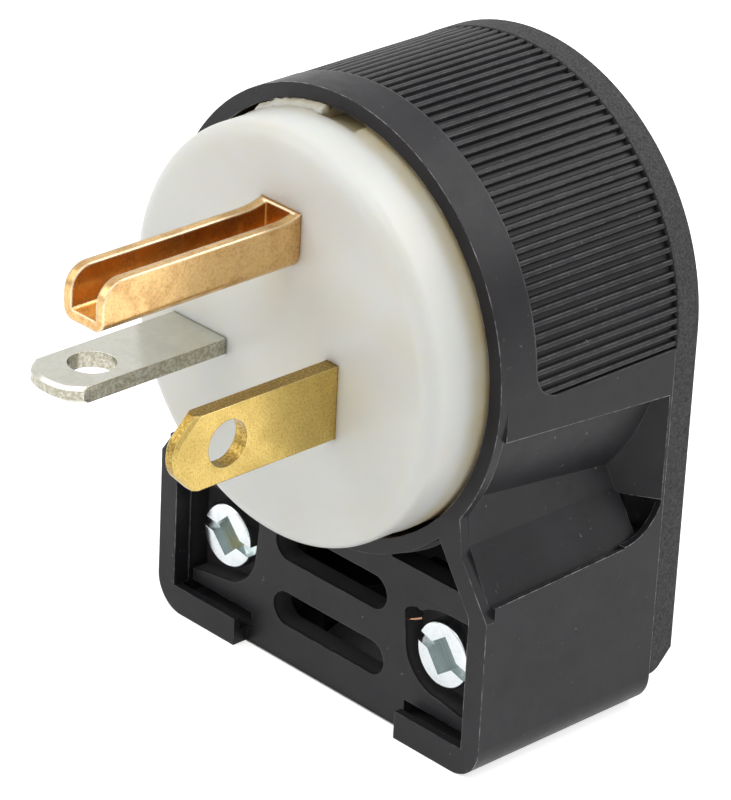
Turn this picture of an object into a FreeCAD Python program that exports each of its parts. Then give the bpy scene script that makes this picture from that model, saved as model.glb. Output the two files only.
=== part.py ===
import FreeCAD, Part
import math
import os
import Sketcher

# An angled power plug with a vertical blade, a horizontal blade and a channel-shaped ground pin.
# The cord leaves through the base, square to the blades.
# Millimetres. X is to the right seen from the blades, Y runs back from the blades, Z is up.
# The origin is the centre of the cord hole, in the plane of the base.

SIZES = (
    # Moulded housing
    ("axis_height", 34.0, "blade face centre above the base"),
    ("cord_setback", 16.6, "blade face to the middle of the cord hole"),
    ("body_radius", 19.5, "arch radius, and half the width of the straight sides"),
    ("base_corner", 3.0, "rounded lower corners of the housing"),
    ("face_proud", 5.7, "how far the blade face stands out of the housing mouth"),
    ("housing_depth", 19.8, "housing mouth to the joint with the cover"),
    ("mouth_radius", 18.15, "bore that holds the blade carrier"),
    ("mouth_depth", 5.0, "mouth to the ledge that the carrier sits on"),
    ("ledge_thickness", 1.5, "ledge inside the mouth"),
    ("ledge_radius", 15.5, "opening in that ledge"),
    ("chamber_radius", 17.3, "wiring chamber behind the ledge"),
    ("chamber_half", 17.3, "half width of the lower chamber"),
    ("chamber_neck", 13.6, "half width of the lower chamber where it meets the round one"),
    ("chamber_shoulder", 13.0, "height where the lower chamber starts to narrow"),
    ("chamber_top", 22.0, "height where the lower chamber meets the round one"),
    ("floor_thickness", 2.5, "bottom wall round the cord hole"),
    ("cord_hole_radius", 7.2, "cord hole in the bottom wall"),
    # Front panel between the two feet
    ("panel_setback", 1.55, "panel behind the mouth plane"),
    ("panel_thickness", 2.0, "panel wall"),
    ("foot_reach", 9.8, "inner end of each foot from the middle"),
    ("foot_height", 2.5, "height of each foot"),
    ("side_wall", 2.0, "side wall seen from the front"),
    ("shoulder_drop", 14.4, "height where the side wall turns in towards the mouth ring"),
    ("ring_break_angle", 45.5, "where the panel meets the mouth ring, degrees below level"),
    ("slot_half", 6.7, "half length of the two long slots"),
    ("slot_height", 3.1, "height of the long slots"),
    ("lower_slot_z", 5.0, "middle of the lower slot above the base"),
    ("upper_slot_z", 11.1, "middle of the upper slot above the base"),
    ("window_floor_z", 15.15, "lower edge of the three-sided windows"),
    ("window_inner", 7.0, "inner end of the windows from the middle"),
    ("window_outer", 15.1, "outer end of the windows from the middle"),
    ("window_tip_angle", 49.5, "top of the windows, degrees below level on the ring"),
    ("window_web", 0.35, "material left between the windows and the ring"),
    # Screw pockets
    ("screw_reach", 13.05, "cover screws from the middle"),
    ("screw_z", 8.5, "cover screws above the base"),
    ("pocket_radius", 4.0, "round part of each screw pocket"),
    ("pocket_inner", 8.8, "inner edge of each screw pocket from the middle"),
    ("pocket_outer", 17.4, "outer edge of each screw pocket from the middle"),
    ("pocket_top_z", 12.65, "top of each screw pocket above the base"),
    ("pocket_notch_z", 11.0, "height of the pocket's inner upper corner"),
    ("pocket_depth", 2.1, "panel face to the seat under the screw head"),
    ("seat_thickness", 2.2, "seat under each screw head"),
    ("ledge_outer", 16.8, "outer end of the bar below each screw"),
    ("ledge_end_z", 3.9, "top of that bar at its outer end"),
    ("gutter_floor_z", 1.3, "floor of the gutter behind each foot"),
    ("gutter_top_z", 2.8, "top of that gutter"),
    ("gutter_inner", 9.3, "inner end of that gutter from the middle"),
    ("lip_thickness", 0.75, "front lip of each foot"),
    # Finger recess on each side
    ("recess_core_radius", 18.6, "round upper wall of the recess"),
    ("recess_front_angle", 10.8, "its upper edge at the front, degrees below level"),
    ("recess_front_crease", 32.2, "its lower edge at the front, degrees below level"),
    ("recess_rear_drop", 2.1, "its centre at the back, below the blade axis"),
    ("recess_rear_angle", 9.0, "its upper edge at the back, degrees below that centre"),
    ("recess_rear_crease", 33.2, "its lower edge at the back, degrees below that centre"),
    ("recess_knee_x", 16.2, "where the recess floor starts to slope out, from the middle"),
    ("recess_knee_z", 20.1, "where the recess floor starts to slope out, above the base"),
    ("recess_front_foot", 15.9, "outer edge of that slope at the front, above the base"),
    ("recess_rear_foot", 16.5, "outer edge of that slope at the back, above the base"),
    ("recess_lip_width", 0.6, "thin lip along that outer edge"),
    ("recess_lip_height", 0.5, "height of the lip over the slope"),
    ("recess_back_gap", 0.3, "recess to the joint with the cover"),
    ("rim_thickness", 0.9, "thin rim of the recess at the front"),
    ("rim_angle", 35.6, "where the rim leaves the mouth ring, degrees below level"),
    ("rim_knee_x", 16.3, "knee of the rim from the middle"),
    ("rim_knee_z", 19.4, "knee of the rim above the base"),
    ("rim_foot_z", 14.7, "lower end of the rim above the base"),
    ("web_inner_x", 15.0, "inner end of the slanted web at the back of the recess"),
    ("web_depth", 3.3, "how far that end stands in front of the joint"),
    ("web_foot_z", 19.6, "lower edge of the web above the base"),
    ("gap_depth", 2.1, "small gap below the web, along the plug"),
    ("gap_inner_x", 13.4, "inner end of that gap from the middle"),
    ("gap_floor_z", 16.0, "floor of that gap above the base"),
    ("cheek_thickness", 0.6, "side wall beside the gap"),
    ("cheek_rise", 4.3, "radius of the curve that rises to the cover there"),
    # Grip ribs over the arch
    ("band_width", 3.9, "smooth band behind the mouth"),
    ("rib_zone_depth", 0.45, "depth of the ribbed zone"),
    ("rib_height", 0.4, "height of each rib"),
    ("rib_foot_half", 0.33, "half width of a rib at its foot"),
    ("rib_top_half", 0.17, "half width of a rib at its top"),
    ("rib_step_angle", 2.9, "angle from rib to rib"),
    ("rib_count", 64, "ribs over the arch"),
    ("rib_zone_overrun", 1.3, "ribbed zone beyond the outer ribs, degrees"),
    ("rib_zone_corner", 2.6, "rounded lower front corner of the ribbed zone"),
    # Rear cover
    ("cover_thickness", 2.8, "rear cover plate"),
    ("cover_chamfer_start", 2.7, "lower edge of the cover above the base"),
    ("cover_chamfer", 2.7, "sloped lower edge of the cover, along each side"),
    ("cover_corner", 1.0, "lower corners of the cover"),
    ("cover_edge", 0.4, "broken outer edge of the cover"),
    ("tongue_length", 1.6, "locating tongue on the cover"),
    ("tongue_thickness", 1.2, "thickness of the tongue"),
    ("fit_clearance", 0.15, "clearance of parts that slide together"),
    ("boss_radius", 3.6, "bosses on the cover for the screws"),
    ("boss_length", 2.4, "how far these bosses stand in front of the joint"),
    ("insert_radius", 2.5, "threaded insert in each boss"),
    ("insert_length", 4.2, "length of each insert"),
    ("insert_groove", 0.35, "depth of the insert's groove"),
    # Screws
    ("screw_radius", 1.75, "cover screw thread"),
    ("screw_head_radius", 3.1, "cover screw head"),
    ("screw_head_height", 1.9, "height of the cover screw head"),
    ("screw_head_edge", 0.4, "broken edge of the screw heads"),
    ("screw_end_gap", 0.8, "screw tip to the bottom of the insert"),
    ("thread_clearance", 0.05, "thread to its hole, radius"),
    ("driver_slot", 1.0, "width of the driver slot"),
    ("driver_slot_depth", 0.8, "depth of the driver slot"),
    ("driver_square", 2.4, "square driver socket"),
    ("driver_square_depth", 1.3, "depth of the square socket"),
    ("left_screw_turn", 8.0, "slot angle of the left cover screw, degrees"),
    ("right_screw_turn", 18.0, "slot angle of the right cover screw, degrees"),
    # Blade carrier
    ("carrier_radius", 17.65, "blade face"),
    ("carrier_front_length", 4.7, "face to the collar"),
    ("collar_radius", 17.85, "collar that fills the mouth"),
    ("face_edge", 0.5, "broken edge of the blade face"),
    ("key_half", 2.1, "half width of the index notch"),
    ("key_shift", 0.7, "index notch off the middle"),
    ("key_root_radius", 16.9, "bottom of the index notch from the axis"),
    ("neck_clearance", 0.25, "carrier neck inside the ledge"),
    ("retainer_radius", 17.0, "rear half of the carrier"),
    ("retainer_thickness", 2.2, "rear half of the carrier"),
    ("barrier_thickness", 1.6, "walls between the terminals"),
    ("barrier_height", 5.2, "height of these walls"),
    ("barrier_reach", 15.5, "lower end of the upright wall from the axis"),
    ("barrier_arm", 7.4, "half length of the level wall"),
    ("carrier_screw_reach", 10.5, "carrier screws from the middle"),
    ("carrier_screw_rise", 8.6, "carrier screws above the axis"),
    ("carrier_screw_radius", 1.3, "carrier screw thread"),
    ("carrier_screw_head", 2.2, "radius of its head"),
    ("carrier_screw_head_height", 1.5, "height of its head"),
    ("carrier_screw_length", 7.0, "length under its head"),
    # Blades, to the usual sizes of a 20 A plug of this pattern
    ("blade_thickness", 1.4, "both flat blades"),
    ("blade_width", 6.35, "both flat blades"),
    ("hot_length", 17.3, "face to the tip of the vertical blade"),
    ("hot_corner", 1.6, "cut corners at its tip"),
    ("neutral_length", 16.2, "face to the tip of the horizontal blade"),
    ("neutral_corner", 0.9, "cut corners at its tip"),
    ("blade_nose", 0.5, "height of the round tip beyond the cut corners"),
    ("blade_hole_radius", 2.0, "hole in each flat blade"),
    ("blade_hole_reach", 11.3, "that hole from the face"),
    ("blade_bevel", 0.3, "bevel round the blade tip"),
    ("blade_row_drop", 2.78, "flat blades below the axis"),
    ("hot_x", 6.5, "vertical blade to the right of the middle"),
    ("neutral_x", 8.95, "horizontal blade to the left of the middle"),
    ("slot_clearance", 0.04, "blade in its slot, each side"),
    ("bend_radius", 0.4, "inner radius where a blade turns into its tab"),
    ("tab_gap", 0.2, "tab to clamp plate"),
    ("hot_tab_length", 8.4, "tab of the vertical blade"),
    ("hot_tab_screw", 4.6, "its screw from the blade"),
    ("neutral_tab_length", 8.0, "tab of the horizontal blade"),
    ("neutral_tab_screw", 4.6, "its screw from the blade"),
    ("tab_hole_clearance", 0.25, "terminal screw in its tab, radius"),
    # Ground pin, a channel open at the top
    ("pin_width", 4.6, "across the channel"),
    ("pin_wall", 0.85, "sheet that it is folded from"),
    ("pin_floor_z", 7.3, "underside of the channel above the axis"),
    ("pin_height", 3.85, "height of the channel walls"),
    ("pin_length", 20.6, "face to pin tip"),
    ("pin_nose", 2.0, "rounded upper front corners"),
    ("pin_fold_radius", 1.0, "outer radius of the folds"),
    ("pin_rise", 0.45, "how far the channel walls rise at the face"),
    ("pin_rise_length", 2.4, "length of the curve in which they rise"),
    ("pin_stop", 0.3, "wall that closes the channel, in front of the face"),
    ("pin_seat", 0.9, "how deep that wall and the raised ends sit in the face"),
    ("ground_tab_half", 3.4, "half width of the ground tab"),
    ("ground_tab_length", 8.4, "length of the ground tab"),
    ("ground_tab_screw", 5.0, "its screw from the underside of the pin"),
    # Terminals
    ("plate_half", 3.3, "half width of the clamp plates"),
    ("plate_thickness", 1.7, "clamp plates"),
    ("plate_corner", 0.5, "cut corners of the clamp plates"),
    ("terminal_radius", 1.7, "terminal screw thread"),
    ("terminal_head", 3.0, "radius of the terminal screw head"),
    ("terminal_head_height", 2.0, "height of the terminal screw head"),
    # Cord saddle
    ("saddle_half", 16.5, "half length of the saddle"),
    ("saddle_height", 6.0, "height of the saddle"),
    ("saddle_thickness", 3.4, "thickness of the saddle"),
    ("saddle_flat", 5.4, "half width of the flat in its cord groove"),
    ("saddle_groove", 8.6, "half width of the cord groove"),
    ("saddle_groove_depth", 1.9, "depth of the cord groove"),
    ("saddle_hole_clearance", 0.3, "cover screw in the saddle, radius"),
)

doc = FreeCAD.newDocument("AngledPlug")
sheet = doc.addObject("Spreadsheet::Sheet", "Sizes")


class Size:
    """A number, and the sheet formula that gives it."""

    def __init__(self, number, formula):
        self.number = number
        self.formula = formula

    def __add__(self, other):
        other = as_size(other)
        return Size(self.number + other.number, f"({self.formula} + {other.formula})")

    def __sub__(self, other):
        other = as_size(other)
        return Size(self.number - other.number, f"({self.formula} - {other.formula})")

    def __mul__(self, other):
        other = as_size(other)
        return Size(self.number * other.number, f"({self.formula} * {other.formula})")

    def __truediv__(self, other):
        other = as_size(other)
        return Size(self.number / other.number, f"({self.formula} / {other.formula})")

    def __neg__(self):
        return Size(-self.number, f"(0 - {self.formula})")

    __radd__ = __add__
    __rmul__ = __mul__

    def __rsub__(self, other):
        return as_size(other) - self


def as_size(value):
    if isinstance(value, Size):
        return value
    return Size(float(value), f"({float(value):.6f})")


def cosine(angle):
    angle = as_size(angle)
    return Size(math.cos(math.radians(angle.number)), f"cos({angle.formula} * 1 deg)")


def sine(angle):
    angle = as_size(angle)
    return Size(math.sin(math.radians(angle.number)), f"sin({angle.formula} * 1 deg)")


def root(value):
    return Size(math.sqrt(value.number), f"sqrt({value.formula})")


def fill_sheet():
    for row, (alias, value, note) in enumerate(SIZES, start=1):
        sheet.set(f"A{row}", note)
        sheet.set(f"B{row}", str(value))
        sheet.setAlias(f"B{row}", alias)
    doc.recompute()


fill_sheet()
S = {alias: Size(float(value), f"Sizes.{alias}") for alias, value, note in SIZES}

# Planes along Y, all measured from the cord hole
face_y = -S["cord_setback"]
mouth_y = face_y + S["face_proud"]
panel_y = mouth_y + S["panel_setback"]
seat_y = panel_y + S["pocket_depth"]
ledge_front_y = mouth_y + S["mouth_depth"]
ledge_back_y = ledge_front_y + S["ledge_thickness"]
retainer_back_y = ledge_back_y + S["retainer_thickness"]
joint_y = mouth_y + S["housing_depth"]
rear_y = joint_y + S["cover_thickness"]
plate_back_y = retainer_back_y + S["plate_thickness"]
tab_y = plate_back_y + S["tab_gap"]
boss_y = joint_y - S["boss_length"]
AXIS_Z = S["axis_height"]

ROLE = {"XY": "XY_Plane", "XZ": "XZ_Plane", "YZ": "YZ_Plane"}
# A sketch on XZ faces forwards, to -Y. The others face along +X and +Z.
FACING = {"XY": 1, "XZ": -1, "YZ": 1}


def bind(item, name, size):
    item.setExpression(name, as_size(size).formula)


def origin_plane(body, plane):
    for feature in body.Origin.OriginFeatures:
        if feature.Role == ROLE[plane]:
            return feature
    raise LookupError(plane)


def make_body(label):
    body = doc.addObject("PartDesign::Body", label)
    body.Label = label
    return body


def make_sketch(body, name, plane, height, centre=None):
    """A sketch parallel to an origin plane, at a height along the plane's own axis."""
    sketch = body.newObject("Sketcher::SketchObject", name)
    sketch.AttachmentSupport = [(origin_plane(body, plane), "")]
    sketch.MapMode = "FlatFace"
    bind(sketch, ".AttachmentOffset.Base.z", as_size(height) * FACING[plane])
    if centre is not None:
        bind(sketch, ".AttachmentOffset.Base.x", centre[0])
        bind(sketch, ".AttachmentOffset.Base.y", centre[1])
    return sketch


def fix_point(sketch, geometry, point, place):
    for kind, size in zip(("DistanceX", "DistanceY"), place):
        size = as_size(size)
        index = sketch.addConstraint(Sketcher.Constraint(kind, -1, 1, geometry, point, size.number))
        bind(sketch, f"Constraints[{index}]", size)


def vector(place):
    return FreeCAD.Vector(as_size(place[0]).number, as_size(place[1]).number, 0)


def draw_circle(sketch, centre, radius):
    radius = as_size(radius)
    circle = Part.Circle(vector(centre), FreeCAD.Vector(0, 0, 1), radius.number)
    geometry = sketch.addGeometry(circle, False)
    fix_point(sketch, geometry, 3, centre)
    index = sketch.addConstraint(Sketcher.Constraint("Radius", geometry, radius.number))
    bind(sketch, f"Constraints[{index}]", radius)


def line(place):
    return ("line", place)


def arc(place, centre, radius, turn):
    """An arc to a place. turn is ccw or cw, seen with the sketch facing you."""
    return ("arc", place, centre, radius, turn)


def arc_curve(start, end, centre, radius, turn):
    begin, finish = (start, end) if turn == "ccw" else (end, start)
    first = math.atan2(begin.y - centre.y, begin.x - centre.x)
    last = math.atan2(finish.y - centre.y, finish.x - centre.x)
    circle = Part.Circle(centre, FreeCAD.Vector(0, 0, 1), radius)
    return Part.ArcOfCircle(circle, first, last)


def draw_outline(sketch, start, *steps):
    """A closed outline of lines and arcs. Each corner is fixed from the sketch's origin."""
    corners = [start] + [step[1] for step in steps]
    numbers = [vector(corner) for corner in corners]
    made = []
    for index, step in enumerate(steps):
        begin = numbers[index]
        end = numbers[index + 1]
        if step[0] == "line":
            geometry = sketch.addGeometry(Part.LineSegment(begin, end), False)
            made.append((geometry, 1, 2))
        else:
            radius = as_size(step[3])
            curve = arc_curve(begin, end, vector(step[2]), radius.number, step[4])
            geometry = sketch.addGeometry(curve, False)
            made.append((geometry, 1, 2) if step[4] == "ccw" else (geometry, 2, 1))
            place = sketch.addConstraint(Sketcher.Constraint("Radius", geometry, radius.number))
            bind(sketch, f"Constraints[{place}]", radius)
    for index, (geometry, first, last) in enumerate(made):
        following, following_first, _ = made[(index + 1) % len(made)]
        sketch.addConstraint(Sketcher.Constraint("Coincident", geometry, last, following, following_first))
        fix_point(sketch, geometry, first, corners[index])


def polygon(sketch, *corners):
    draw_outline(sketch, corners[0], *[line(corner) for corner in corners[1:]], line(corners[0]))


def rectangle(sketch, low_x, low_y, high_x, high_y):
    polygon(sketch, (low_x, low_y), (high_x, low_y), (high_x, high_y), (low_x, high_y))


def add_between(body, name, plane, low, high, draw, centre=None):
    """A pad from one height to another along the plane's own axis."""
    base = low if FACING[plane] > 0 else high
    sketch = make_sketch(body, f"{name}_sketch", plane, base, centre)
    draw(sketch)
    pad = body.newObject("PartDesign::Pad", name)
    pad.Profile = sketch
    bind(pad, "Length", as_size(high) - low)
    return pad


def cut_between(body, name, plane, low, high, draw, centre=None):
    """A pocket from one height to another along the plane's own axis."""
    base = high if FACING[plane] > 0 else low
    sketch = make_sketch(body, f"{name}_sketch", plane, base, centre)
    draw(sketch)
    pocket = body.newObject("PartDesign::Pocket", name)
    pocket.Profile = sketch
    bind(pocket, "Length", as_size(high) - low)
    return pocket


def edges_where(feature, test):
    """Names of the edges whose middle passes the test."""
    names = []
    for index, edge in enumerate(feature.Shape.Edges, start=1):
        middle = edge.valueAt((edge.FirstParameter + edge.LastParameter) / 2)
        if test(edge, middle):
            names.append(f"Edge{index}")
    return names


def soften(body, kind, name, feature, size, test):
    """A fillet or chamfer on the edges of a feature that pass the test."""
    doc.recompute()
    names = edges_where(feature, test)
    if not names:
        raise ValueError(f"{name} found no edge")
    blend = body.newObject(f"PartDesign::{kind}", name)
    blend.Base = (feature, names)
    bind(blend, "Radius" if kind == "Fillet" else "Size", size)
    return blend


def near(value, size, reach=0.02):
    return abs(value - as_size(size).number) < reach


def ring_point(radius, angle):
    """A place on a circle about the blade axis, with the angle below level."""
    return (radius * cosine(angle), AXIS_Z - radius * sine(angle))


def flip(place):
    return (-as_size(place[0]), place[1])


def draw_body_outline(sketch, low_z, corner):
    """Arch, straight sides and rounded lower corners."""
    half = S["body_radius"]
    draw_outline(
        sketch,
        (half, AXIS_Z),
        arc((0, AXIS_Z + half), (0, AXIS_Z), half, "ccw"),
        arc((-half, AXIS_Z), (0, AXIS_Z), half, "ccw"),
        line((-half, low_z + corner)),
        arc((corner - half, low_z), (corner - half, low_z + corner), corner, "ccw"),
        line((half - corner, low_z)),
        arc((half, low_z + corner), (half - corner, low_z + corner), corner, "ccw"),
        line((half, AXIS_Z)),
    )


def draw_panel_recess(sketch):
    """The sunk panel. It stops at the feet, the side walls and the mouth ring."""
    wall_x = S["body_radius"] - S["side_wall"]
    shoulder = (wall_x, AXIS_Z - S["shoulder_drop"] - S["side_wall"] * 2.6)
    ring = ring_point(S["body_radius"], S["ring_break_angle"])
    foot = (S["foot_reach"], S["foot_height"])
    draw_outline(
        sketch,
        (-S["foot_reach"], -1),
        line((S["foot_reach"], -1)),
        line(foot),
        line((wall_x, S["foot_height"])),
        line(shoulder),
        line(ring),
        arc(flip(ring), (0, AXIS_Z), S["body_radius"], "cw"),
        line(flip(shoulder)),
        line((-wall_x, S["foot_height"])),
        line(flip(foot)),
        line((-S["foot_reach"], -1)),
    )


def draw_rim(sketch, side):
    """The opening beside the thin rim. side is 1 on the right and -1 on the left."""
    ring = ring_point(S["body_radius"], S["rim_angle"])
    outside = S["body_radius"] + 2
    turn = "cw" if side > 0 else "ccw"
    draw_outline(
        sketch,
        (side * S["body_radius"], AXIS_Z),
        arc((side * ring[0], ring[1]), (0, AXIS_Z), S["body_radius"], turn),
        line((side * S["rim_knee_x"], S["rim_knee_z"])),
        line((side * S["body_radius"], S["rim_foot_z"])),
        line((side * outside, S["rim_foot_z"])),
        line((side * outside, AXIS_Z)),
        line((side * S["body_radius"], AXIS_Z)),
    )


def draw_finger_recess(sketch, side, drop, upper_angle, crease_angle, foot_z):
    """A round upper wall about a centre below the axis, and a floor that slopes out to a lip."""
    upper = ring_point(S["recess_core_radius"], upper_angle)
    crease = ring_point(S["recess_core_radius"], crease_angle)
    upper_z = upper[1] - drop
    outside = S["body_radius"] + 2
    lip = S["recess_lip_width"]
    turn = "cw" if side > 0 else "ccw"
    draw_outline(
        sketch,
        (side * outside, upper_z),
        line((side * upper[0], upper_z)),
        arc((side * crease[0], crease[1] - drop), (0, AXIS_Z - drop), S["recess_core_radius"], turn),
        line((side * S["recess_knee_x"], S["recess_knee_z"])),
        line((side * (S["body_radius"] - lip), foot_z - S["recess_lip_height"])),
        line((side * (S["body_radius"] - lip / 2), foot_z)),
        line((side * outside, foot_z)),
        line((side * outside, upper_z)),
    )


def cut_finger_recess(body, name, side):
    """The recess changes a little from front to back, so it is lofted between two outlines."""
    front = make_sketch(body, f"{name}_front", "XZ", mouth_y + S["rim_thickness"])
    draw_finger_recess(
        front, side, 0, S["recess_front_angle"], S["recess_front_crease"], S["recess_front_foot"]
    )
    back = make_sketch(body, f"{name}_back", "XZ", joint_y - S["recess_back_gap"])
    draw_finger_recess(
        back, side, S["recess_rear_drop"],
        S["recess_rear_angle"], S["recess_rear_crease"], S["recess_rear_foot"],
    )
    loft = body.newObject("PartDesign::SubtractiveLoft", name)
    loft.Profile = front
    loft.Sections = [back]
    loft.Ruled = True


def draw_web(sketch, side):
    """The slanted web at the back of the recess, seen from above."""
    polygon(
        sketch,
        (side * S["web_inner_x"], joint_y - S["web_depth"]),
        (side * S["body_radius"], joint_y - S["recess_back_gap"]),
        (side * S["body_radius"], joint_y),
        (side * S["web_inner_x"], joint_y),
    )


def draw_cheek(sketch):
    """The side wall below the web, seen from the side. It rises to the cover in a curve."""
    start_y = joint_y - S["cheek_rise"]
    low = S["recess_rear_foot"] - 1
    draw_outline(
        sketch,
        (start_y, low),
        line((joint_y, low)),
        line((joint_y, S["recess_rear_foot"] + S["cheek_rise"])),
        arc(
            (start_y, S["recess_rear_foot"]),
            (start_y, S["recess_rear_foot"] + S["cheek_rise"]),
            S["cheek_rise"],
            "cw",
        ),
        line((start_y, low)),
    )


def draw_front_chamber(sketch):
    half = S["chamber_half"]
    ring = ring_point(S["body_radius"], S["window_tip_angle"])
    draw_outline(
        sketch,
        (-half, S["floor_thickness"]),
        line((half, S["floor_thickness"])),
        line((half, S["chamber_shoulder"])),
        line(ring),
        arc(flip(ring), (0, AXIS_Z), S["body_radius"], "cw"),
        line((-half, S["chamber_shoulder"])),
        line((-half, S["floor_thickness"])),
    )


def draw_rear_chamber(sketch):
    half = S["chamber_half"]
    polygon(
        sketch,
        (-half, S["floor_thickness"]),
        (half, S["floor_thickness"]),
        (half, S["chamber_shoulder"]),
        (S["chamber_neck"], S["chamber_top"]),
        (-S["chamber_neck"], S["chamber_top"]),
        (-half, S["chamber_shoulder"]),
    )


def draw_slot(sketch, centre_z):
    end = S["slot_height"] / 2
    straight = S["slot_half"] - end
    draw_outline(
        sketch,
        (-straight, centre_z - end),
        line((straight, centre_z - end)),
        arc((S["slot_half"], centre_z), (straight, centre_z), end, "ccw"),
        arc((straight, centre_z + end), (straight, centre_z), end, "ccw"),
        line((-straight, centre_z + end)),
        arc((-S["slot_half"], centre_z), (-straight, centre_z), end, "ccw"),
        arc((-straight, centre_z - end), (-straight, centre_z), end, "ccw"),
    )


def draw_window(sketch, side):
    """A three-sided window under the mouth ring."""
    radius = S["body_radius"] + S["window_web"]
    inner = S["window_inner"]
    tip = ring_point(radius, S["window_tip_angle"])
    top = AXIS_Z - root(radius * radius - inner * inner)
    turn = "cw" if side > 0 else "ccw"
    draw_outline(
        sketch,
        (side * inner, S["window_floor_z"]),
        line((side * S["window_outer"], S["window_floor_z"])),
        line((side * tip[0], tip[1])),
        arc((side * inner, top), (0, AXIS_Z), radius, turn),
        line((side * inner, S["window_floor_z"])),
    )


def draw_screw_pocket(sketch, side):
    """The pocket round a cover screw, with a bar left below the screw."""
    screw_x = S["screw_reach"]
    radius = S["pocket_radius"]
    turn = "ccw" if side > 0 else "cw"
    draw_outline(
        sketch,
        (side * (screw_x - radius), S["screw_z"]),
        arc((side * screw_x, S["screw_z"] - radius), (side * screw_x, S["screw_z"]), radius, turn),
        line((side * S["ledge_outer"], S["ledge_end_z"])),
        line((side * S["ledge_outer"], S["gutter_floor_z"])),
        line((side * S["pocket_outer"], S["gutter_floor_z"])),
        line((side * S["pocket_outer"], S["pocket_top_z"])),
        line((side * S["pocket_inner"], S["pocket_top_z"])),
        line((side * S["pocket_inner"], S["pocket_notch_z"])),
        line((side * (screw_x - radius), S["screw_z"])),
    )


def turned(place, angle):
    """A place turned about the sketch's origin."""
    across, up = as_size(place[0]), as_size(place[1])
    return (across * cosine(angle) - up * sine(angle), across * sine(angle) + up * cosine(angle))


def draw_rib(sketch):
    first = 90 - (S["rib_count"] - 1) * S["rib_step_angle"] / 2
    foot = S["body_radius"] - S["rib_zone_depth"] - 0.1
    top = foot + 0.1 + S["rib_height"]
    corners = (
        (foot, -S["rib_foot_half"]),
        (top, -S["rib_top_half"]),
        (top, S["rib_top_half"]),
        (foot, S["rib_foot_half"]),
    )
    polygon(sketch, *[turned(corner, first) for corner in corners])


def draw_rib_zone(sketch):
    """The sunk zone that carries the ribs, from one lower end over the arch to the other."""
    reach = (S["rib_count"] - 1) * S["rib_step_angle"] / 2 - 90 + S["rib_zone_overrun"]
    inner = S["body_radius"] - S["rib_zone_depth"]
    outer = S["body_radius"] + 1
    low_inner = ring_point(inner, reach)
    low_outer = ring_point(outer, reach)
    centre = (0, AXIS_Z)
    draw_outline(
        sketch,
        low_inner,
        line(low_outer),
        arc((0, AXIS_Z + outer), centre, outer, "ccw"),
        arc(flip(low_outer), centre, outer, "ccw"),
        line(flip(low_inner)),
        arc((0, AXIS_Z + inner), centre, inner, "cw"),
        arc(low_inner, centre, inner, "cw"),
    )


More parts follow.
